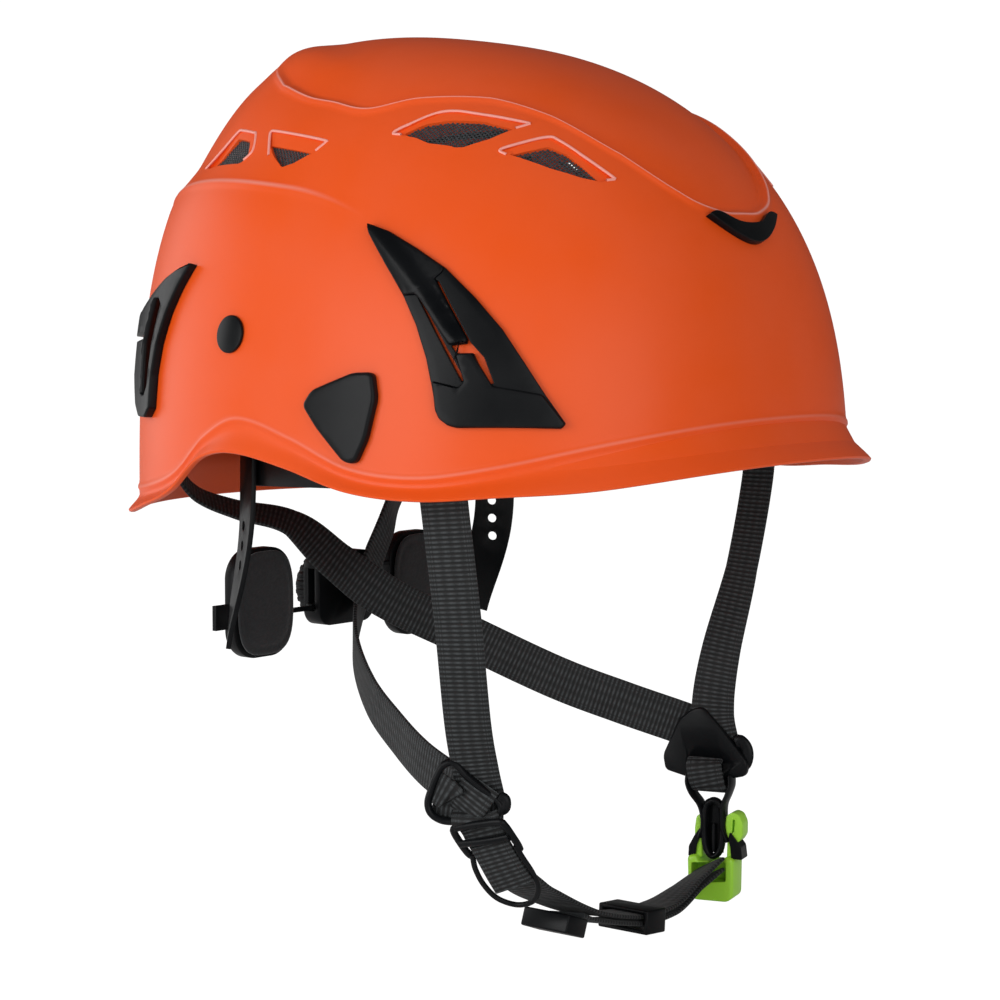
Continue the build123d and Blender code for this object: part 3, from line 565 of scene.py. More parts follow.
for name, width in (
    ("front_crest_clip", 0.5), ("round_plug_right", 0.3), ("round_plug_left", 0.3),
    ("nape_housing", 0.5), ("nape_knob", 0.3), ("wing_right", 0.6), ("wing_left", 0.6),
    ("tail_stop", 0.6), ("strap_keeper", 0.6), ("arm_right", 0.4), ("arm_left", 0.4),
):
    softened(name, width, black_nylon)
for name in ("cradle_hangers", "strap_anchors"):
    set_material(frame["nodes"][name], black_nylon)


BROW_LIFT = 6.5


def raise_brow(obj):
    """Lifts the front of the band so that it stays hidden behind the shell's brim."""
    for vert in obj.data.vertices:
        vert.co.z += BROW_LIFT * MM * (1 - smooth_step(-0.09, 0.0, vert.co.y))


raise_brow(softened("headband", 0.4, black_nylon))

# ---- vent meshes --------------------------------------------------------------------------
# A fine woven screen is welded behind each group of vents and keeps chips and insects out.
SCREEN_PITCH = 1.15
SCREEN_RISE = -1.95


def within(outline, x, y, margin):
    """Whether (x, y) lies inside the outline, or within a margin of it."""
    inside, nearest = False, 1e9
    for (ax, ay), (bx, by) in zip(outline, outline[1:] + outline[:1]):
        if (ay > y) != (by > y) and x < (bx - ax) * (y - ay) / (by - ay) + ax:
            inside = not inside
        t = min(max(((x - ax) * (bx - ax) + (y - ay) * (by - ay)) / ((bx - ax) ** 2 + (by - ay) ** 2), 0), 1)
        nearest = min(nearest, math.hypot(ax + t * (bx - ax) - x, ay + t * (by - ay) - y))
    return inside or nearest < margin


screen_yarn = new_material("black_polyester_monofilament")
tree = screen_yarn.node_tree
place = add(tree, "ShaderNodeTexCoord")
speck_and_glint = add(tree, "ShaderNodeTexNoise", {"Scale": 900.0}, {"Vector": place.outputs["Object"]})
ramp = add(tree, "ShaderNodeValToRGB", links={"Fac": speck_and_glint.outputs["Fac"]})
# The pale end of the ramp is partly random tone and partly painted glint: lighter specks stand in for the glints on
# the crossings of the weave.
ramp.color_ramp.elements[0].color = linear("17191B")
ramp.color_ramp.elements[1].color = linear("5A5E61")
shader = add(tree, "ShaderNodeBsdfPrincipled", {"Roughness": 0.3, "Specular IOR Level": 0.6},
    {"Base Color": ramp.outputs["Color"]})
finish_material(screen_yarn, shader.outputs["BSDF"])
for side, name in ((1, "right"), (-1, "left")):
    bm = bmesh.new()
    for heading, tilt, points, radius, lip in VENTS:
        reach = max(math.hypot(x, y) for x, y in points) + 2.5
        part = bmesh.new()
        across = round(2 * reach / SCREEN_PITCH)
        bmesh.ops.create_grid(part, x_segments=across, y_segments=across, size=reach)
        bmesh.ops.rotate(part, verts=part.verts, matrix=Matrix.Rotation(math.radians(40), 3, "Z"))
        outside = [v for v in part.verts if not within(points, v.co.x, v.co.y, 2.2)]
        bmesh.ops.delete(part, geom=outside, context="VERTS")
        knots = []
        for vert in part.verts:
            place_on = on_skin(heading, tilt, vert.co.x, vert.co.y)
            knots.append((dome_skin(*place_on, SCREEN_RISE + 0.24), skin_normal(*place_on)))
            vert.co = dome_skin(*place_on, SCREEN_RISE)
        bmesh.ops.wireframe(
            part, faces=part.faces[:], thickness=0.5, offset=0,
            use_boundary=True, use_even_offset=True, use_replace=True
        )
        for centre, normal in knots:
            upright = normal.to_track_quat("Z", "Y").to_matrix().to_4x4()
            turn = Matrix.Translation(centre) @ upright @ Matrix.Diagonal((0.36, 0.36, 0.3, 1))
            bmesh.ops.create_icosphere(part, subdivisions=1, radius=1.0, matrix=turn)
        for vert in part.verts:
            vert.co = Vector((vert.co.x * side, vert.co.y, vert.co.z)) * MM
        bmesh.ops.recalc_face_normals(part, faces=part.faces)
        merge_part(bm, part)
    screen = new_object("vent_screen_" + name, bm)
    set_material(screen, screen_yarn)
    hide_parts("vent_mesh_" + name)
    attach(screen, "helmet")

# ---- webbing ------------------------------------------------------------------------------
# The harness is 16 mm polyester webbing, 1.5 mm thick, woven with ribs across its width about
# every 1.6 mm. It keeps a soft rounded selvedge along both sides.
RIB_PITCH = 1.6


def spline_point(points, place):
    """Point on the smooth line through the stations, at a place counted in stations."""
    i = min(int(place), len(points) - 2)
    t = place - i
    low, high = points[i], points[i + 1]
    before = points[i - 1] if i > 0 else low * 2 - high
    after = points[i + 2] if i + 2 < len(points) else high * 2 - low
    return smooth_join(before, low, high, after, t)


def webbing_run(bm, stations, facings, width=16.0, thickness=1.5, rib=0.14, around=20, square=0.35):
    """Adds one ribbed run of webbing to bm, with its own UV map in millimetres."""
    points, faces = [Vector(p) for p in stations], [Vector(f).normalized() for f in facings]
    fine = 60 * (len(points) - 1)
    line = [spline_point(points, (len(points) - 1) * k / fine) for k in range(fine + 1)]
    travelled = [0.0]
    for a, b in zip(line, line[1:]):
        travelled.append(travelled[-1] + (b - a).length)
    count = max(int(travelled[-1] / (RIB_PITCH / 4)), 4)
    created = bmesh.ops.create_grid(bm, x_segments=around, y_segments=count, size=1)["verts"]
    weave = bm.loops.layers.uv.verify()
    rows = []
    k = 0
    for j in range(count + 1):
        goal = travelled[-1] * j / count
        while k < fine - 1 and travelled[k + 1] < goal:
            k += 1
        share = (goal - travelled[k]) / max(travelled[k + 1] - travelled[k], 1e-9)
        place = (len(points) - 1) * (k + share) / fine
        further = spline_point(points, min(place + 0.02, len(points) - 1))
        ahead = further - spline_point(points, max(place - 0.02, 0))
        run = ahead.normalized()
        i = min(int(place), len(points) - 2)
        facing = faces[i].lerp(faces[i + 1], place - i)
        across = run.cross(facing).normalized()
        rows.append((spline_point(points, place), across, across.cross(run), goal))
    for vert in created:
        for loop in vert.link_loops:
            loop[weave].uv = ((vert.co.x + 1) * width, travelled[-1] * (vert.co.y + 1) / 2)
    for vert in created:
        i, j = round((vert.co.x + 1) / 2 * around), round((vert.co.y + 1) / 2 * count)
        centre, across, out, goal = rows[j]
        angle = 2 * math.pi * (i % around) / around
        c, s = math.cos(angle), math.sin(angle)
        wide = math.copysign(abs(c) ** square, c) * width / 2
        deep = math.copysign(abs(s) ** (0.45 if square < 0.5 else square), s) * thickness / 2
        ripple = rib * math.cos(2 * math.pi * goal / RIB_PITCH) * min(1.0, abs(s) * 2)
        vert.co = (centre + across * wide + out * (deep + math.copysign(ripple, s) * (abs(s) > 0.05))) * MM
    return created


def swept_object(name, sweeps, material, body, nodes):
    """Closed sweeps, each given as the arguments of webbing_run, in place of the CAD nodes."""
    bm = bmesh.new()
    for given, named in sweeps:
        part = bmesh.new()
        webbing_run(part, *given, **named)
        bmesh.ops.remove_doubles(part, verts=part.verts, dist=0.00001)
        bmesh.ops.holes_fill(part, edges=[e for e in part.edges if e.is_boundary], sides=40)
        bmesh.ops.recalc_face_normals(part, faces=part.faces)
        merge_part(bm, part)
    obj = new_object(name, bm)
    set_material(obj, material)
    if nodes:
        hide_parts(*nodes)
    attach(obj, body)
    return obj


def webbing_object(name, runs, body, *nodes):
    """Webbing piece of one or more runs, in place of its CAD nodes."""
    sweeps = [(run[:2], run[2] if len(run) > 2 else {}) for run in runs]
    return swept_object(name, sweeps, webbing_cloth, body, nodes)


webbing_cloth = new_material("woven_polyester")
tree = webbing_cloth.node_tree
place = add(tree, "ShaderNodeTexCoord")
yarn = add(tree, "ShaderNodeTexNoise", {"Scale": 1400.0, "Detail": 2.0}, {"Vector": place.outputs["Object"]})
dust = add(tree, "ShaderNodeTexNoise", {"Scale": 90.0, "Detail": 4.0}, {"Vector": place.outputs["Object"]})
along = add(tree, "ShaderNodeSeparateXYZ", links={"Vector": place.outputs["UV"]})
turn = add(tree, "ShaderNodeMath", {1: 2 * math.pi / RIB_PITCH}, {0: along.outputs["Y"]}, operation="MULTIPLY")
wave = add(tree, "ShaderNodeMath", links={0: turn.outputs["Value"]}, operation="COSINE")
crown = add(tree, "ShaderNodeMapRange", {"From Min": -1.0, "From Max": 1.0}, {"Value": wave.outputs["Value"]})
cross = add(tree, "ShaderNodeMath", {1: 2 * math.pi / 1.1}, {0: along.outputs["X"]}, operation="MULTIPLY")
pick = add(tree, "ShaderNodeMath", links={0: cross.outputs["Value"]}, operation="COSINE")
stitch = add(tree, "ShaderNodeMapRange", {"From Min": -1.0, "From Max": 1.0, "To Min": 0.55},
    {"Value": pick.outputs["Value"]})
rib = add(tree, "ShaderNodeMath", links={0: crown.outputs["Result"], 1: stitch.outputs["Result"]},
    operation="MULTIPLY")
blend = add(tree, "ShaderNodeMapRange", {"To Min": 0.5, "To Max": 1.35}, {"Value": yarn.outputs["Fac"]})
rib_relief_and_shade = add(tree, "ShaderNodeMath", links={0: rib.outputs["Value"], 1: blend.outputs["Result"]},
    operation="MULTIPLY")
# Painted shade and highlight: the ramp darkens the grooves between the ribs and lightens their crowns, following
# the same rib relief as the bump.
ramp = add(tree, "ShaderNodeValToRGB", links={"Fac": rib_relief_and_shade.outputs["Value"]})
ramp.color_ramp.elements[0].position, ramp.color_ramp.elements[0].color = 0.22, linear("040506")
ramp.color_ramp.elements[1].position, ramp.color_ramp.elements[1].color = 0.9, linear("3E4244")
bump = add(tree, "ShaderNodeBump", {"Strength": 0.8, "Distance": 0.25 * MM}, {"Height": rib_relief_and_shade.outputs["Value"]})
gloss = add(tree, "ShaderNodeMapRange", {"To Min": 0.6, "To Max": 0.85}, {"Value": dust.outputs["Fac"]})
shader = add(
    tree,
    "ShaderNodeBsdfPrincipled",
    {"Sheen Weight": 0.08, "Sheen Roughness": 0.4},
    {"Base Color": ramp.outputs["Color"], "Roughness": gloss.outputs["Result"], "Normal": bump.outputs["Normal"]},
)
finish_material(webbing_cloth, shader.outputs["BSDF"])

CHEEK = (-0.89, -0.45, 0)


def ring_places(points):
    """Points given in the plane of the right-hand divider: along it, up, and out from it."""
    return [(-67 + 0.45 * x - 0.89 * out, -44.5 - 0.89 * x - 0.45 * out, -93 + y) for x, y, out in points]


VIEW = (-0.766, -0.643, 0)
webbing_object(
    "front_webbing_right",
    [
        ([(-90, -50, 22), (-87.5, -50.5, 4), (-80, -49, -30), (-71.5, -46, -66), (-65.9, -44.7, -83),
          (-63.4, -45.2, -92.5)], [CHEEK] * 6),
        (ring_places([(-14.2, -1.6, -2.2), (-6, -2.6, -2.4), (2, -2.8, -2.4), (8.6, -2.8, -2.2)]), [CHEEK] * 4,
            {"width": 9.5}),
        (ring_places([(3.4, 6.0, -0.9), (0.6, 1.8, 0.5), (-2.2, -2.6, 0.2), (-4.0, -5.6, -1.2)]),
            [(-0.82, -0.42, 0.38)] * 4, {"width": 13.5}),
        (ring_places([(-12.6, 4.0, -0.5), (-10.2, 2.8, 0.9), (-8.2, 1.6, 0.9), (-6.6, 0.6, -0.8)]),
            [(-0.97, 0.1, 0.2)] * 4, {"width": 11.0}),
    ],
    "helmet", "front_strap_right",
)
webbing_object(
    "front_webbing_left",
    [(
        [(90, -50, 22), (87.5, -50.5, 4), (80, -49, -28), (71.5, -46, -58), (68.8, -44.5, -79), (69.6, -46.5, -93)],
        [(0.97, -0.2, 0), (0.97, -0.2, 0), (0.97, -0.2, 0), (0.97, 0.1, 0), (0.9, 0.4, 0), (0.9, 0.4, 0)],
    )],
    "helmet", "front_strap_left",
)
webbing_object(
    "rear_webbing_right",
    [(
        [(-66, 100, 13), (-57, 97, 1), (-44, 89, -5.5), (-30, 75, -10.5), (-18, 63, -25), (-3, 51.5, -39),
         (19, 34, -53), (40, 7, -69), (53, -15, -78), (66.5, -32, -85.5), (71.5, -42.0, -89.5)],
        [(-0.1, -0.3, 0.95), (-0.1, -0.3, 0.95), (-0.15, -0.3, 0.92), (-0.3, -0.3, 0.85),
         (-0.55, -0.5, 0.6)] + [VIEW] * 6,
    )],
    "helmet", "rear_strap_right",
)
webbing_object(
    "rear_webbing_left",
    [(
        [(66, 100, 13), (56, 97, 1), (43, 89, -5), (24, 75, -12), (11, 71.5, -27), (-1, 67.5, -42.5),
         (-18, 54, -56.5), (-37, 29, -69), (-50, 4, -78.5), (-59, -16, -85), (-64, -34, -90)],
        [(0.5, -0.86, 0), (0.45, -0.9, 0), (0.55, -0.83, 0), (0.45, -0.89, 0), (0.32, -0.95, 0), (0.53, -0.85, 0),
         (0.74, -0.68, 0), (0.85, -0.53, 0), (0.9, -0.43, 0), (0.94, -0.3, 0), (0.96, -0.2, 0)],
    )],
    "helmet", "rear_strap_left",
)
webbing_object(
    "chin_webbing",
    [(
        [(-66.6, -45.8, -98.6), (-65.4, -47.2, -102.5), (-63.4, -48.2, -107.0), (-56.8, -49.3, -116.2),
         (-47.4, -49.9, -123.6), (-38, -50, -129), (-15, -50.5, -139), (10, -50, -144.5), (32, -48.5, -145.0),
         (50, -47, -141.0), (64.2, -47.4, -136.2)],
        [(-0.85, -0.4, -0.3), (-0.8, -0.3, -0.5), (-0.77, -0.26, -0.57), (-0.74, -0.26, -0.6),
         (-0.68, -0.26, -0.68), (-0.6, -0.22, -0.75), (-0.35, -0.1, -0.93), (-0.1, 0, -1), (0.1, -0.1, -1),
         (0.3, -0.35, -0.85), (0.4, -0.48, -0.78)],
    )],
    "chin", "chin_strap",
)
webbing_object(
    "chin_webbing_loop",
    [
        (ring_places([(1.5, -5.0, 1.9), (1.5, -7.4, 1.9), (1.6, -8.2, 0.4), (1.5, -7.2, -1.6), (1.5, -4.6, -1.8),
            (1.5, -4.2, -0.2), (1.5, -5.4, 1.6)]),
         [(-0.89, -0.45, 0.3), (-0.89, -0.45, -0.4), (0, 0, -1), (0.89, 0.45, -0.3), (0.89, 0.45, 0.3), (0, 0, 1),
             (-0.89, -0.45, 0.4)], {"width": 17.0, "thickness": 1.2}),
        ([(-64.2, -49.2, -107.2), (-61.6, -50.6, -112.5), (-58.9, -52.1, -117.8), (-56.2, -53.5, -122.6)],
         [(-0.8, -0.3, -0.5), (-0.8, -0.33, -0.48), (-0.82, -0.36, -0.44), (-0.84, -0.38, -0.4)], {"width": 15.0}),
    ],
    "chin",
)
webbing_object(
    "chin_webbing_tail",
    [(
        [(-26, -51, -137.8), (-15, -50.5, -141.8), (10, -50, -146.9), (32, -48.5, -147.8), (50, -47, -144.2),
         (64.2, -47.4, -140.3)],
        [(-0.35, -0.1, -0.95), (-0.3, -0.1, -0.95), (-0.1, 0, -1), (0.1, -0.1, -1), (0.3, -0.35, -0.85),
         (0.4, -0.48, -0.78)],
    )],
    "chin", "chin_strap_tail",
)
for name, heading_deg, crown in (("cradle_strap_lower", 42, 126.0), ("cradle_strap_upper", 138, 129.5)):
    points, facings = [], []
    heading = math.radians(heading_deg)
    for i in range(-5, 6):
        lean = math.radians(16 * i)
        out, height = 90.0 * math.sin(lean), 37 + (crown - 37) * math.cos(lean)
        points.append((out * math.cos(heading), out * math.sin(heading) * 1.08 + 2.0, height))
        facings.append((math.sin(lean) * math.cos(heading), math.sin(lean) * math.sin(heading), math.cos(lean)))
    webbing_object(name + "_webbing", [(points, facings, {"width": 20.0})], "helmet", name)

# ---- vent lips -----------------------------------------------------------------------------
# Each vent's hood ends in a fine raised edge along its upper side, painted paler as a highlight line.
HOODS = [
    (-151.5, 40.7, [(-19.5, -0.8), (-22.6, 0.4), (-18, 3.2), (-6, 8.5), (8, 6.9), (22, 4.9), (22.4, 4.0),
                    (19, 1.6)]),
    (-132.0, 45.2, [(-14.8, 2.4), (-16.8, 4.6), (-12, 6.4), (-1.2, 9.4), (3, 7.6), (11, 0.6), (19.4, -6.4),
                    (19.6, -7.2), (17, -8.0)]),
    (169.0, 45.7, [(-10, -0.4), (-14.2, 7.0), (-15.2, 9.8), (-12, 9.8), (2, 7.4), (14.6, 5.2), (15.2, 4.4),
                   (12.5, 1.0)]),
    (151.0, 47.0, [(-18.4, -5.6), (-12.6, 1.6), (-6.6, 8.6), (-3, 9.0), (5, 8.0), (7.4, 7.2), (11.2, 0.6),
                   (9, -3.4)]),
]
for side, name in ((1, "right"), (-1, "left")):
    bm = bmesh.new()
    for heading, tilt, path in HOODS:
        edge_line = [dome_skin(*on_skin(heading, tilt, x, y), -0.05) for x, y in path]
        out = [skin_normal(*on_skin(heading, tilt, x, y)) for x, y in path]
        part = bmesh.new()
        webbing_run(part, [(p.x * side, p.y, p.z) for p in edge_line], [(n.x * side, n.y, n.z) for n in out], 1.0,
            0.9, 0.0, 10, 1.0)
        bmesh.ops.remove_doubles(part, verts=part.verts, dist=0.00001)
        bmesh.ops.recalc_face_normals(part, faces=part.faces)
        merge_part(bm, part)
    lips = new_object("vent_lips_" + name, bm)
    # Painted highlight: every vertex of the lips is painted paler.
    lip_highlight = lips.data.attributes.new("painted_highlight", "FLOAT", "POINT")
    for item in lip_highlight.data:
        item.value = 0.75
    set_material(lips, shell_plastic)
    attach(lips, "helmet")

# ---- divider ring, slider and pull ring ----------------------------------------------------
# Three nylon mouldings of round bar: the ring that gathers the straps below the right ear, the
# ladder slider under it, and the thin ring that is pulled to slacken the chin strap.
def bar_object(name, runs, body, *nodes):
    """Moulded bars, each swept along its stations with an oval section."""
    sweeps = [((line, [facing] * len(line), wide, deep, 0.0, 16, 1.0), {}) for line, facing, wide, deep in runs]
    return swept_object(name, sweeps, black_nylon, body, nodes)


def closed(points):
    """The same points with the first two again at the end, so the bar overlaps itself."""
    return points + points[:2]


ring_line = [(-7.8, 12.6, 0), (-10.4, 11.2, 0), (-12.4, 7.8, 0), (-14.2, 3.2, 0), (-15.4, -1.2, 0),
             (-14.6, -4.6, 0), (-11.8, -6.7, 0), (-8.0, -7.4, 0), (-1.5, -6.9, 0), (6.3, -5.7, 0), (9.0, -3.8, 0),
             (9.4, -1.2, 0), (6.9, 1.5, 0), (1.9, 5.1, 0), (-2.6, 8.6, 0), (-5.2, 11.5, 0)]
bar_object(
    "divider_ring_right",
    [
        (ring_places(closed(ring_line)), CHEEK, 2.6, 3.2),
        (ring_places([(9.6, -3.0, -0.3), (10.8, -2.2, -0.3), (11.2, -0.6, -0.3), (10.8, 1.0, -0.3),
                      (9.0, 1.8, -0.3)]), CHEEK, 3.6, 2.8),
    ],
    "helmet", "divider_right",
)

ALONG, DOWN, OUT = Vector((0.153, -0.96, 0.224)), Vector((0.612, -0.087, -0.786)), Vector((-0.774, -0.257, -0.574))
ladder = Vector((-64.6, -48.4, -105.6))


def ladder_places(points):
    return [tuple(ladder + ALONG * x + DOWN * y + OUT * out) for x, y, out in points]


frame_line = [(-8.5, -6.6, 0.2), (0, -6.9, 0.2), (8.5, -6.6, 0.2), (10.0, -5.2, 0.4), (10.3, 0, 0.5),
              (10.0, 5.4, 0.4), (8.5, 6.6, 0.2), (0, 6.9, 0.2), (-8.5, 6.6, 0.2), (-10.0, 5.4, 0.4),
              (-10.3, 0, 0.5), (-10.0, -5.2, 0.4)]
bar_object(
    "slider_ladder",
    [
        (ladder_places(closed(frame_line)), tuple(OUT), 2.6, 2.4),
        (ladder_places([(-9.8, -0.6, 1.6), (-3, -0.6, 2.0), (3, -0.6, 2.0), (9.8, -0.6, 1.6)]), tuple(OUT), 2.8,
            2.2),
    ],
    "chin", "slider_buckle",
)
pull_line = [(-8.4, 5.5, 1.0), (-9.8, 11, 2.2), (-9.9, 18.0, 3.0), (-8.0, 24.6, 3.2), (-2.6, 28.8, 3.0),
             (4.0, 28.2, 2.8), (8.8, 23.0, 2.4), (10.0, 16.5, 2.0), (9.8, 9.0, 1.6), (9.6, 4.0, 1.0)]
bar_object("pull_ring_bar", [(ladder_places(pull_line), tuple(OUT), 2.0, 1.8)], "chin", "pull_ring")

# ---- left divider and tongue loop ------------------------------------------------------------
# The closed divider plate of the far side, and the short sewn loop that hangs the buckle's
# wishbone from its slot.
SIDE, FRONT = Vector((0.3, -0.954, 0)), Vector((-0.954, -0.3, 0))
buckle_place = Vector((66.6, -44.9, -118.2))


def buckle_places(points):
    """Points given across the buckle, up it, and out from its face."""
    return [tuple(buckle_place + SIDE * x + Vector((0, 0, y)) + FRONT * out) for x, y, out in points]


def plate_block(name, outline, radius, back, front, edge, places=buckle_places):
    """Flat moulding of one outline with rounded corners and rounded edges, between two depths."""
    bm = bmesh.new()
    bm.faces.new([bm.verts.new((x, y, 0)) for x, y in outline])
    if radius:
        bmesh.ops.bevel(
            bm, geom=bm.verts[:], offset=radius, offset_type="OFFSET", segments=6, profile=0.5,
            affect="VERTICES", material=-1
        )
    for vert in bm.verts:
        vert.co = Vector(places([(vert.co.x, vert.co.y, back)])[0]) * MM
    shift = (Vector(places([(0, 0, front)])[0]) - Vector(places([(0, 0, back)])[0])) * MM
    grown = bmesh.ops.extrude_face_region(bm, geom=bm.faces[:])["geom"]
    bmesh.ops.translate(bm, verts=[g for g in grown if isinstance(g, bmesh.types.BMVert)], vec=shift)
    bmesh.ops.recalc_face_normals(bm, faces=bm.faces)
    if edge:
        sharp = [e for e in bm.edges if e.calc_face_angle(0) > 0.9]
        bmesh.ops.bevel(
            bm, geom=sharp, offset=edge * MM, offset_type="OFFSET", segments=3, profile=0.5, affect="EDGES",
            clamp_overlap=True, material=-1,
        )
    bmesh.ops.triangulate(bm, faces=[f for f in bm.faces if len(f.verts) > 4])
    return new_object(name, bm)


def divider_places(points):
    """Points given along the left divider, up it, and out from its face."""
    return [(68.9 + 0.24 * x - 0.97 * out, -45.7 - 0.97 * x - 0.24 * out, -91.4 + y) for x, y, out in points]


divider = plate_block(
    "divider_plate_left",
    [(-4.2, 13.0), (-8.4, 12.2), (-13.8, 7.8), (-20.2, -6.0), (-19.2, -11.6), (-10.0, -13.8), (6.0, -13.2),
     (12.6, -11.6), (13.6, -6.6), (0.5, 8.0)],
    1.6, -1.2, 2.2, 0.9, divider_places,
)
cut(divider, [plate_block("slot", [(-9.6, -7.4), (3.8, -6.8), (4.2, -11.2), (-9.8, -11.8)], 0.8, -6, 6, 0,
    divider_places)])
bar_object(
    "divider_lug_left",
    [(divider_places([(9.0, -8.4, -0.4), (11.4, -7.2, -0.6), (12.2, -4.0, -0.8), (11.4, -1.0, -0.8),
                      (9.4, 0.8, -0.6), (8.0, 0.2, -0.4)]), (-0.97, -0.24, 0), 5.2, 2.8)],
    "helmet",
)
set_material(divider, black_nylon)
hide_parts("divider_left")
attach(divider, "helmet")
webbing_object(
    "tongue_webbing",
    [(
        buckle_places([(-1.6, 20.4, 1.0), (-1.4, 18.6, 2.9), (-0.6, 14.5, 3.2), (0.4, 10.8, 2.6), (0.6, 9.2, 0.2),
            (0.4, 10.8, -2.0), (-0.4, 14.5, -2.6),
                       (-1.2, 18.6, -2.2), (-1.5, 20.4, -0.6), (-1.6, 20.2, 1.3)]),
        [tuple(FRONT * 0.6 + Vector((0, 0, 0.8))), tuple(FRONT), tuple(FRONT), tuple(FRONT - Vector((0, 0, 0.6))),
            (0, 0, -1), tuple(-FRONT), tuple(-FRONT),
         tuple(-FRONT), tuple(Vector((0, 0, 0.9)) - FRONT * 0.5), tuple(FRONT * 0.7 + Vector((0, 0, 0.7)))],
        {"width": 13.6, "thickness": 1.3},
    )],
    body_of_node["tongue_strap"], "tongue_strap",
)

# ---- pads ---------------------------------------------------------------------------------
# The brow pad and the two nape pads are thin foam under a soft brushed fabric.
pad_cloth = new_material("brushed_lining")
tree = pad_cloth.node_tree
place = add(tree, "ShaderNodeTexCoord")
nap = add(tree, "ShaderNodeTexNoise", {"Scale": 900.0, "Detail": 4.0}, {"Vector": place.outputs["Object"]})
ramp = add(tree, "ShaderNodeValToRGB", links={"Fac": nap.outputs["Fac"]})
ramp.color_ramp.elements[0].color = linear("141517")
ramp.color_ramp.elements[1].color = linear("2B2D30")
bump = add(tree, "ShaderNodeBump", {"Strength": 0.5, "Distance": 0.3 * MM}, {"Height": nap.outputs["Fac"]})
shader = add(tree, "ShaderNodeBsdfPrincipled", {"Roughness": 0.9, "Sheen Weight": 0.3},
    {"Base Color": ramp.outputs["Color"], "Normal": bump.outputs["Normal"]})
finish_material(pad_cloth, shader.outputs["BSDF"])


def crowned_pad(name, centre, half_width, half_height, half_depth, side):
    """Cushioned oval with a sewn channel round its edge, thickest in the middle."""
    bm = bmesh.new()
    bmesh.ops.create_uvsphere(bm, u_segments=64, v_segments=40, radius=1.0)
    for vert in bm.verts:
        x, y, z = vert.co
        reach = max(math.hypot(x, y), 1e-6)
        c, s = (x / reach, y / reach) if reach > 0.001 else (1.0, 0.0)
        stretch = 1 / (abs(c) ** 3.2 + abs(s) ** 3.2) ** (1 / 3.2)
        swell = math.copysign(abs(z) ** 0.6, z) * (1 - 0.3 * math.exp(-((reach - 0.86) / 0.05) ** 2))
        vert.co = (
            (centre[0] + x * stretch * half_width) * side * MM,
            (centre[1] - swell * half_depth) * MM,
            (centre[2] + y * stretch * half_height) * MM,
        )
    bmesh.ops.recalc_face_normals(bm, faces=bm.faces)
    pad = new_object(name + "_cushion", bm)
    set_material(pad, pad_cloth)
    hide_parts(name)
    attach(pad, body_of_node[name])


crowned_pad("wing_pad_right", (-42, 76.0, -39), 14, 19, 1.35, 1)
crowned_pad("wing_pad_left", (-42, 76.0, -39), 14, 19, 1.35, -1)
brow = softened("brow_pad", 1.3, pad_cloth)
raise_brow(brow)

# ---- buckle -------------------------------------------------------------------------------
# Side-release buckle: a lime green nylon half with two curled arms, black levers beside them,
# and the black wishbone with its oval latch. The chin strap enters the green half in two layers.
green_nylon = moulded_plastic("glossy_moulded_nylon", "A6E63A", 0.33, 1.0, 0.02, 0.05)
block = plate_block(
    "buckle_block",
    [(-7.0, -15.2), (-6.6, -28.6), (-4.4, -31.4), (8.2, -31.4), (10.6, -29.6), (10.8, -15.2), (7.6, -14.2),
     (6.6, -17.0), (-2.6, -17.0), (-3.6, -14.2)],
    1.2, -7.0, 5.0, 1.2,
)
cut(block, [plate_block("window", [(-5.2, -17.4), (-5.2, -25.2), (8.0, -23.6), (8.0, -16.6)], 0.6, -3, 8, 0)])
left_arm = plate_block(
    "left_arm", [(-4.8, -16.0), (-5.0, -5.0), (-4.4, -0.6), (-2.4, 0.6), (-1.2, -1.0), (-1.4, -6.0),
                 (-2.0, -16.0)], 0.8, -4.5, 2.5, 0.8
)
right_arm = plate_block(
    "right_arm", [(7.6, -16.0), (7.8, -9.0), (7.0, -3.0), (7.4, 0.6), (9.8, 1.9), (12.2, 1.0), (13.6, -2.0),
                  (13.6, -6.6), (12.0, -9.2), (10.6, -9.4), (10.4, -16.0)],
    0.9, -4.0, 2.5, 1.0,
)
cut(right_arm, [plate_block("slit", [(9.8, -0.8), (10.6, -0.8), (10.4, -5.2), (9.4, -6.2)], 0.3, 0.5, 8, 0)])
green = join("buckle_body_moulding", [block, left_arm, right_arm])
set_material(green, green_nylon)
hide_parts("buckle_body")
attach(green, body_of_node["buckle_body"])
for node, outline in (
    ("buckle_lever_rear", [(-2.6, -4.6), (-4.6, -7.4), (-6.8, -11.6), (-7.0, -15.4), (-4.4, -15.4), (-3.8, -11.0),
        (-2.2, -7.2)]),
    ("buckle_lever_front", [(9.0, -5.4), (11.0, -7.8), (13.2, -10.6), (13.8, -15.4), (9.6, -15.2), (9.2, -11.0),
        (8.4, -7.8)]),
):
    lever = plate_block(node + "_moulding", outline, 0.5, -3.2, 3.4, 0)
    set_material(lever, black_nylon)
    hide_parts(node)
    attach(lever, body_of_node[node])
FACE = tuple(FRONT)
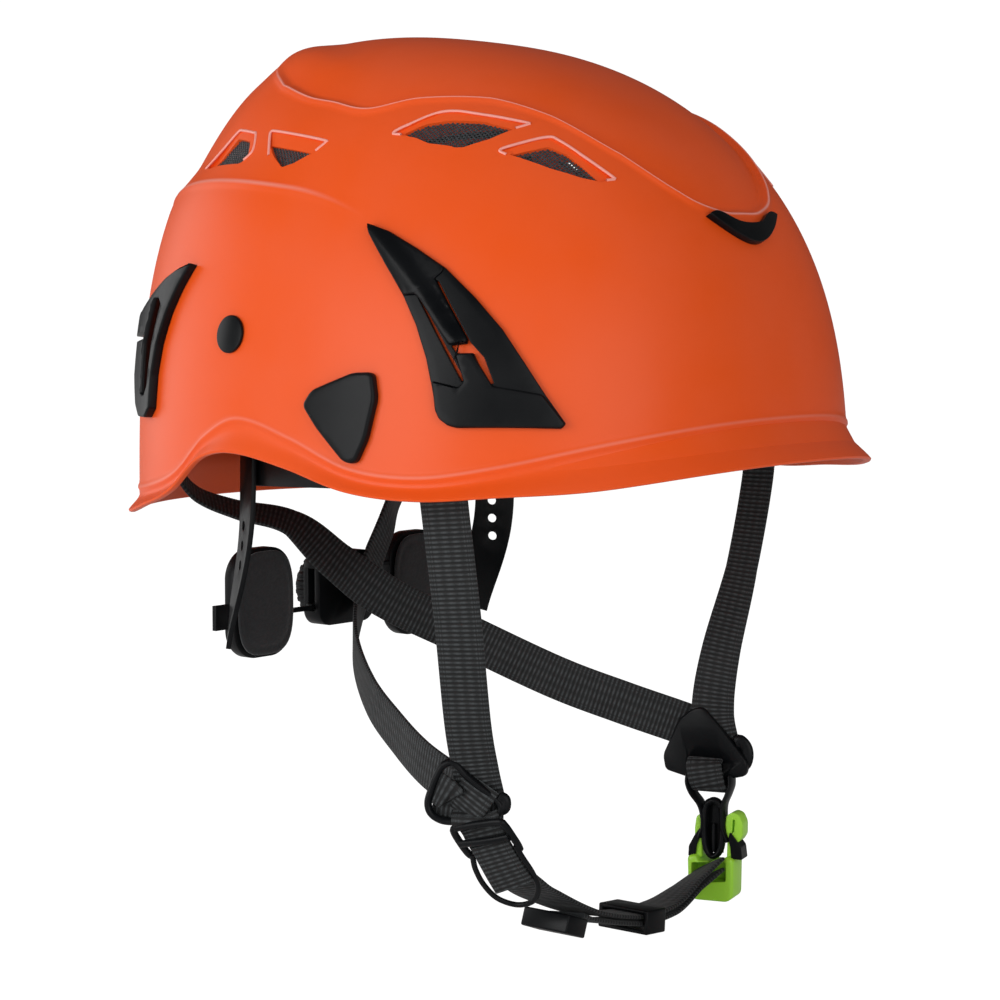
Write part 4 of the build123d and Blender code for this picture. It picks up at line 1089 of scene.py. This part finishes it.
bar_object(
    "buckle_wishbone",
    [
        (buckle_places([(-8.0, 14.4, -0.5), (-7.9, 11.4, 0), (-6.3, 8.0, 0.4), (-3.2, 4.2, 0.6), (-1.9, 0.4, 0.6),
            (-1.7, -4.0, 0.4), (-3.0, -8.0, 0)]), FACE, 2.1, 8.0),
        (buckle_places([(8.2, 15.0, -0.5), (8.4, 11.4, 0), (7.4, 8.0, 0.4), (6.0, 4.4, 0.6), (5.7, 0.4, 0.6),
                        (6.0, -4.0, 0.4), (7.8, -9.0, 0)]), FACE, 2.1, 8.0),
        (buckle_places([(-8.2, 12.4, 0), (0, 12.7, 0), (8.4, 12.8, 0)]), FACE, 2.2, 2.2),
        (buckle_places(closed([(2.2, 5.8, 1.8), (-0.4, 4.2, 1.8), (-1.2, -1.0, 2.0), (-1.0, -9.0, 2.2),
                               (0.2, -13.4, 2.2), (2.4, -15.0, 2.2), (4.8, -13.0, 2.2), (5.8, -8.6, 2.2),
                               (5.8, -1.0, 2.0), (4.8, 4.2, 1.8)])), FACE, 2.4, 3.6),
        (buckle_places([(2.3, -3.0, 1.6), (2.3, -8.0, 1.8), (2.4, -13.4, 1.8)]), FACE, 1.6, 2.0),
        (buckle_places([(2.3, 4.0, -0.6), (2.3, -14.0, -0.4)]), FACE, 6.4, 1.6),
    ],
    body_of_node["buckle_tongue"], "buckle_tongue",
)

# ---- stage --------------------------------------------------------------------------------
# Pale floor just under the harness, large soft lamps, and a long lens level with the rim.
FLOOR_LEVEL = -0.1535
bm = bmesh.new()
bmesh.ops.create_grid(bm, x_segments=1, y_segments=1, size=8)
bmesh.ops.translate(bm, verts=bm.verts, vec=(0, 0, FLOOR_LEVEL))
floor = new_object("floor", bm)
floor_paint = new_material("pale_floor_paint")
tree = floor_paint.node_tree
path = add(tree, "ShaderNodeLightPath")
paint = add(tree, "ShaderNodeBsdfPrincipled", {"Base Color": linear("F4F4F4"), "Roughness": 0.9,
    "Specular IOR Level": 0.1})
glow = add(tree, "ShaderNodeEmission", {"Color": linear("FFFFFF"), "Strength": 1.35})
share = add(tree, "ShaderNodeMath", {1: 0.72}, {0: path.outputs["Is Camera Ray"]}, operation="MULTIPLY")
mixed = add(tree, "ShaderNodeMixShader", links={0: share.outputs["Value"], 1: paint.outputs["BSDF"],
    2: glow.outputs["Emission"]})
finish_material(floor_paint, mixed.outputs["Shader"])
floor.data.materials.append(floor_paint)

world = bpy.data.worlds.new("studio")
bpy.context.scene.world = world
world.use_nodes = True
tree = world.node_tree
tree.nodes.clear()
path = add(tree, "ShaderNodeLightPath")
mirrored = add(tree, "ShaderNodeMapRange", {"To Min": 0.36, "To Max": 0.08},
    {"Value": path.outputs["Is Glossy Ray"]})
strength = add(tree, "ShaderNodeMapRange", {"To Max": 1.05}, {"Value": path.outputs["Is Camera Ray"],
    "To Min": mirrored.outputs["Result"]})
sky = add(tree, "ShaderNodeBackground", {"Color": (1, 1, 1, 1)}, {"Strength": strength.outputs["Result"]})
add(tree, "ShaderNodeOutputWorld", links={"Surface": sky.outputs["Background"]})


def soft_lamp(name, place, size, power):
    """Square area lamp turned towards the middle of the object."""
    lamp = bpy.data.lights.new(name, "AREA")
    lamp.size = size
    lamp.energy = power
    obj = bpy.data.objects.new(name, lamp)
    obj.location = place
    obj.rotation_euler = (Vector((0, 0, 0.03)) - Vector(place)).to_track_quat("-Z", "Y").to_euler()
    bpy.context.scene.collection.objects.link(obj)


soft_lamp("key", (-1.55, 0.35, 0.3), 1.0, 12.0)
soft_lamp("fill", (-0.9, -1.5, 0.25), 1.4, 11.5)
soft_lamp("rear", (-0.3, 1.5, 0.2), 1.0, 5)

camera = bpy.data.cameras.new("camera")
camera.lens = 100.8
camera.sensor_width = 36.0
viewpoint = bpy.data.objects.new("camera", camera)
viewpoint.location = (-0.763, -0.640, 0.087)
viewpoint.rotation_euler = (-viewpoint.location).to_track_quat("-Z", "Y").to_euler()
bpy.context.scene.collection.objects.link(viewpoint)
bpy.context.scene.camera = viewpoint
bpy.context.scene.view_settings.view_transform = "Standard"
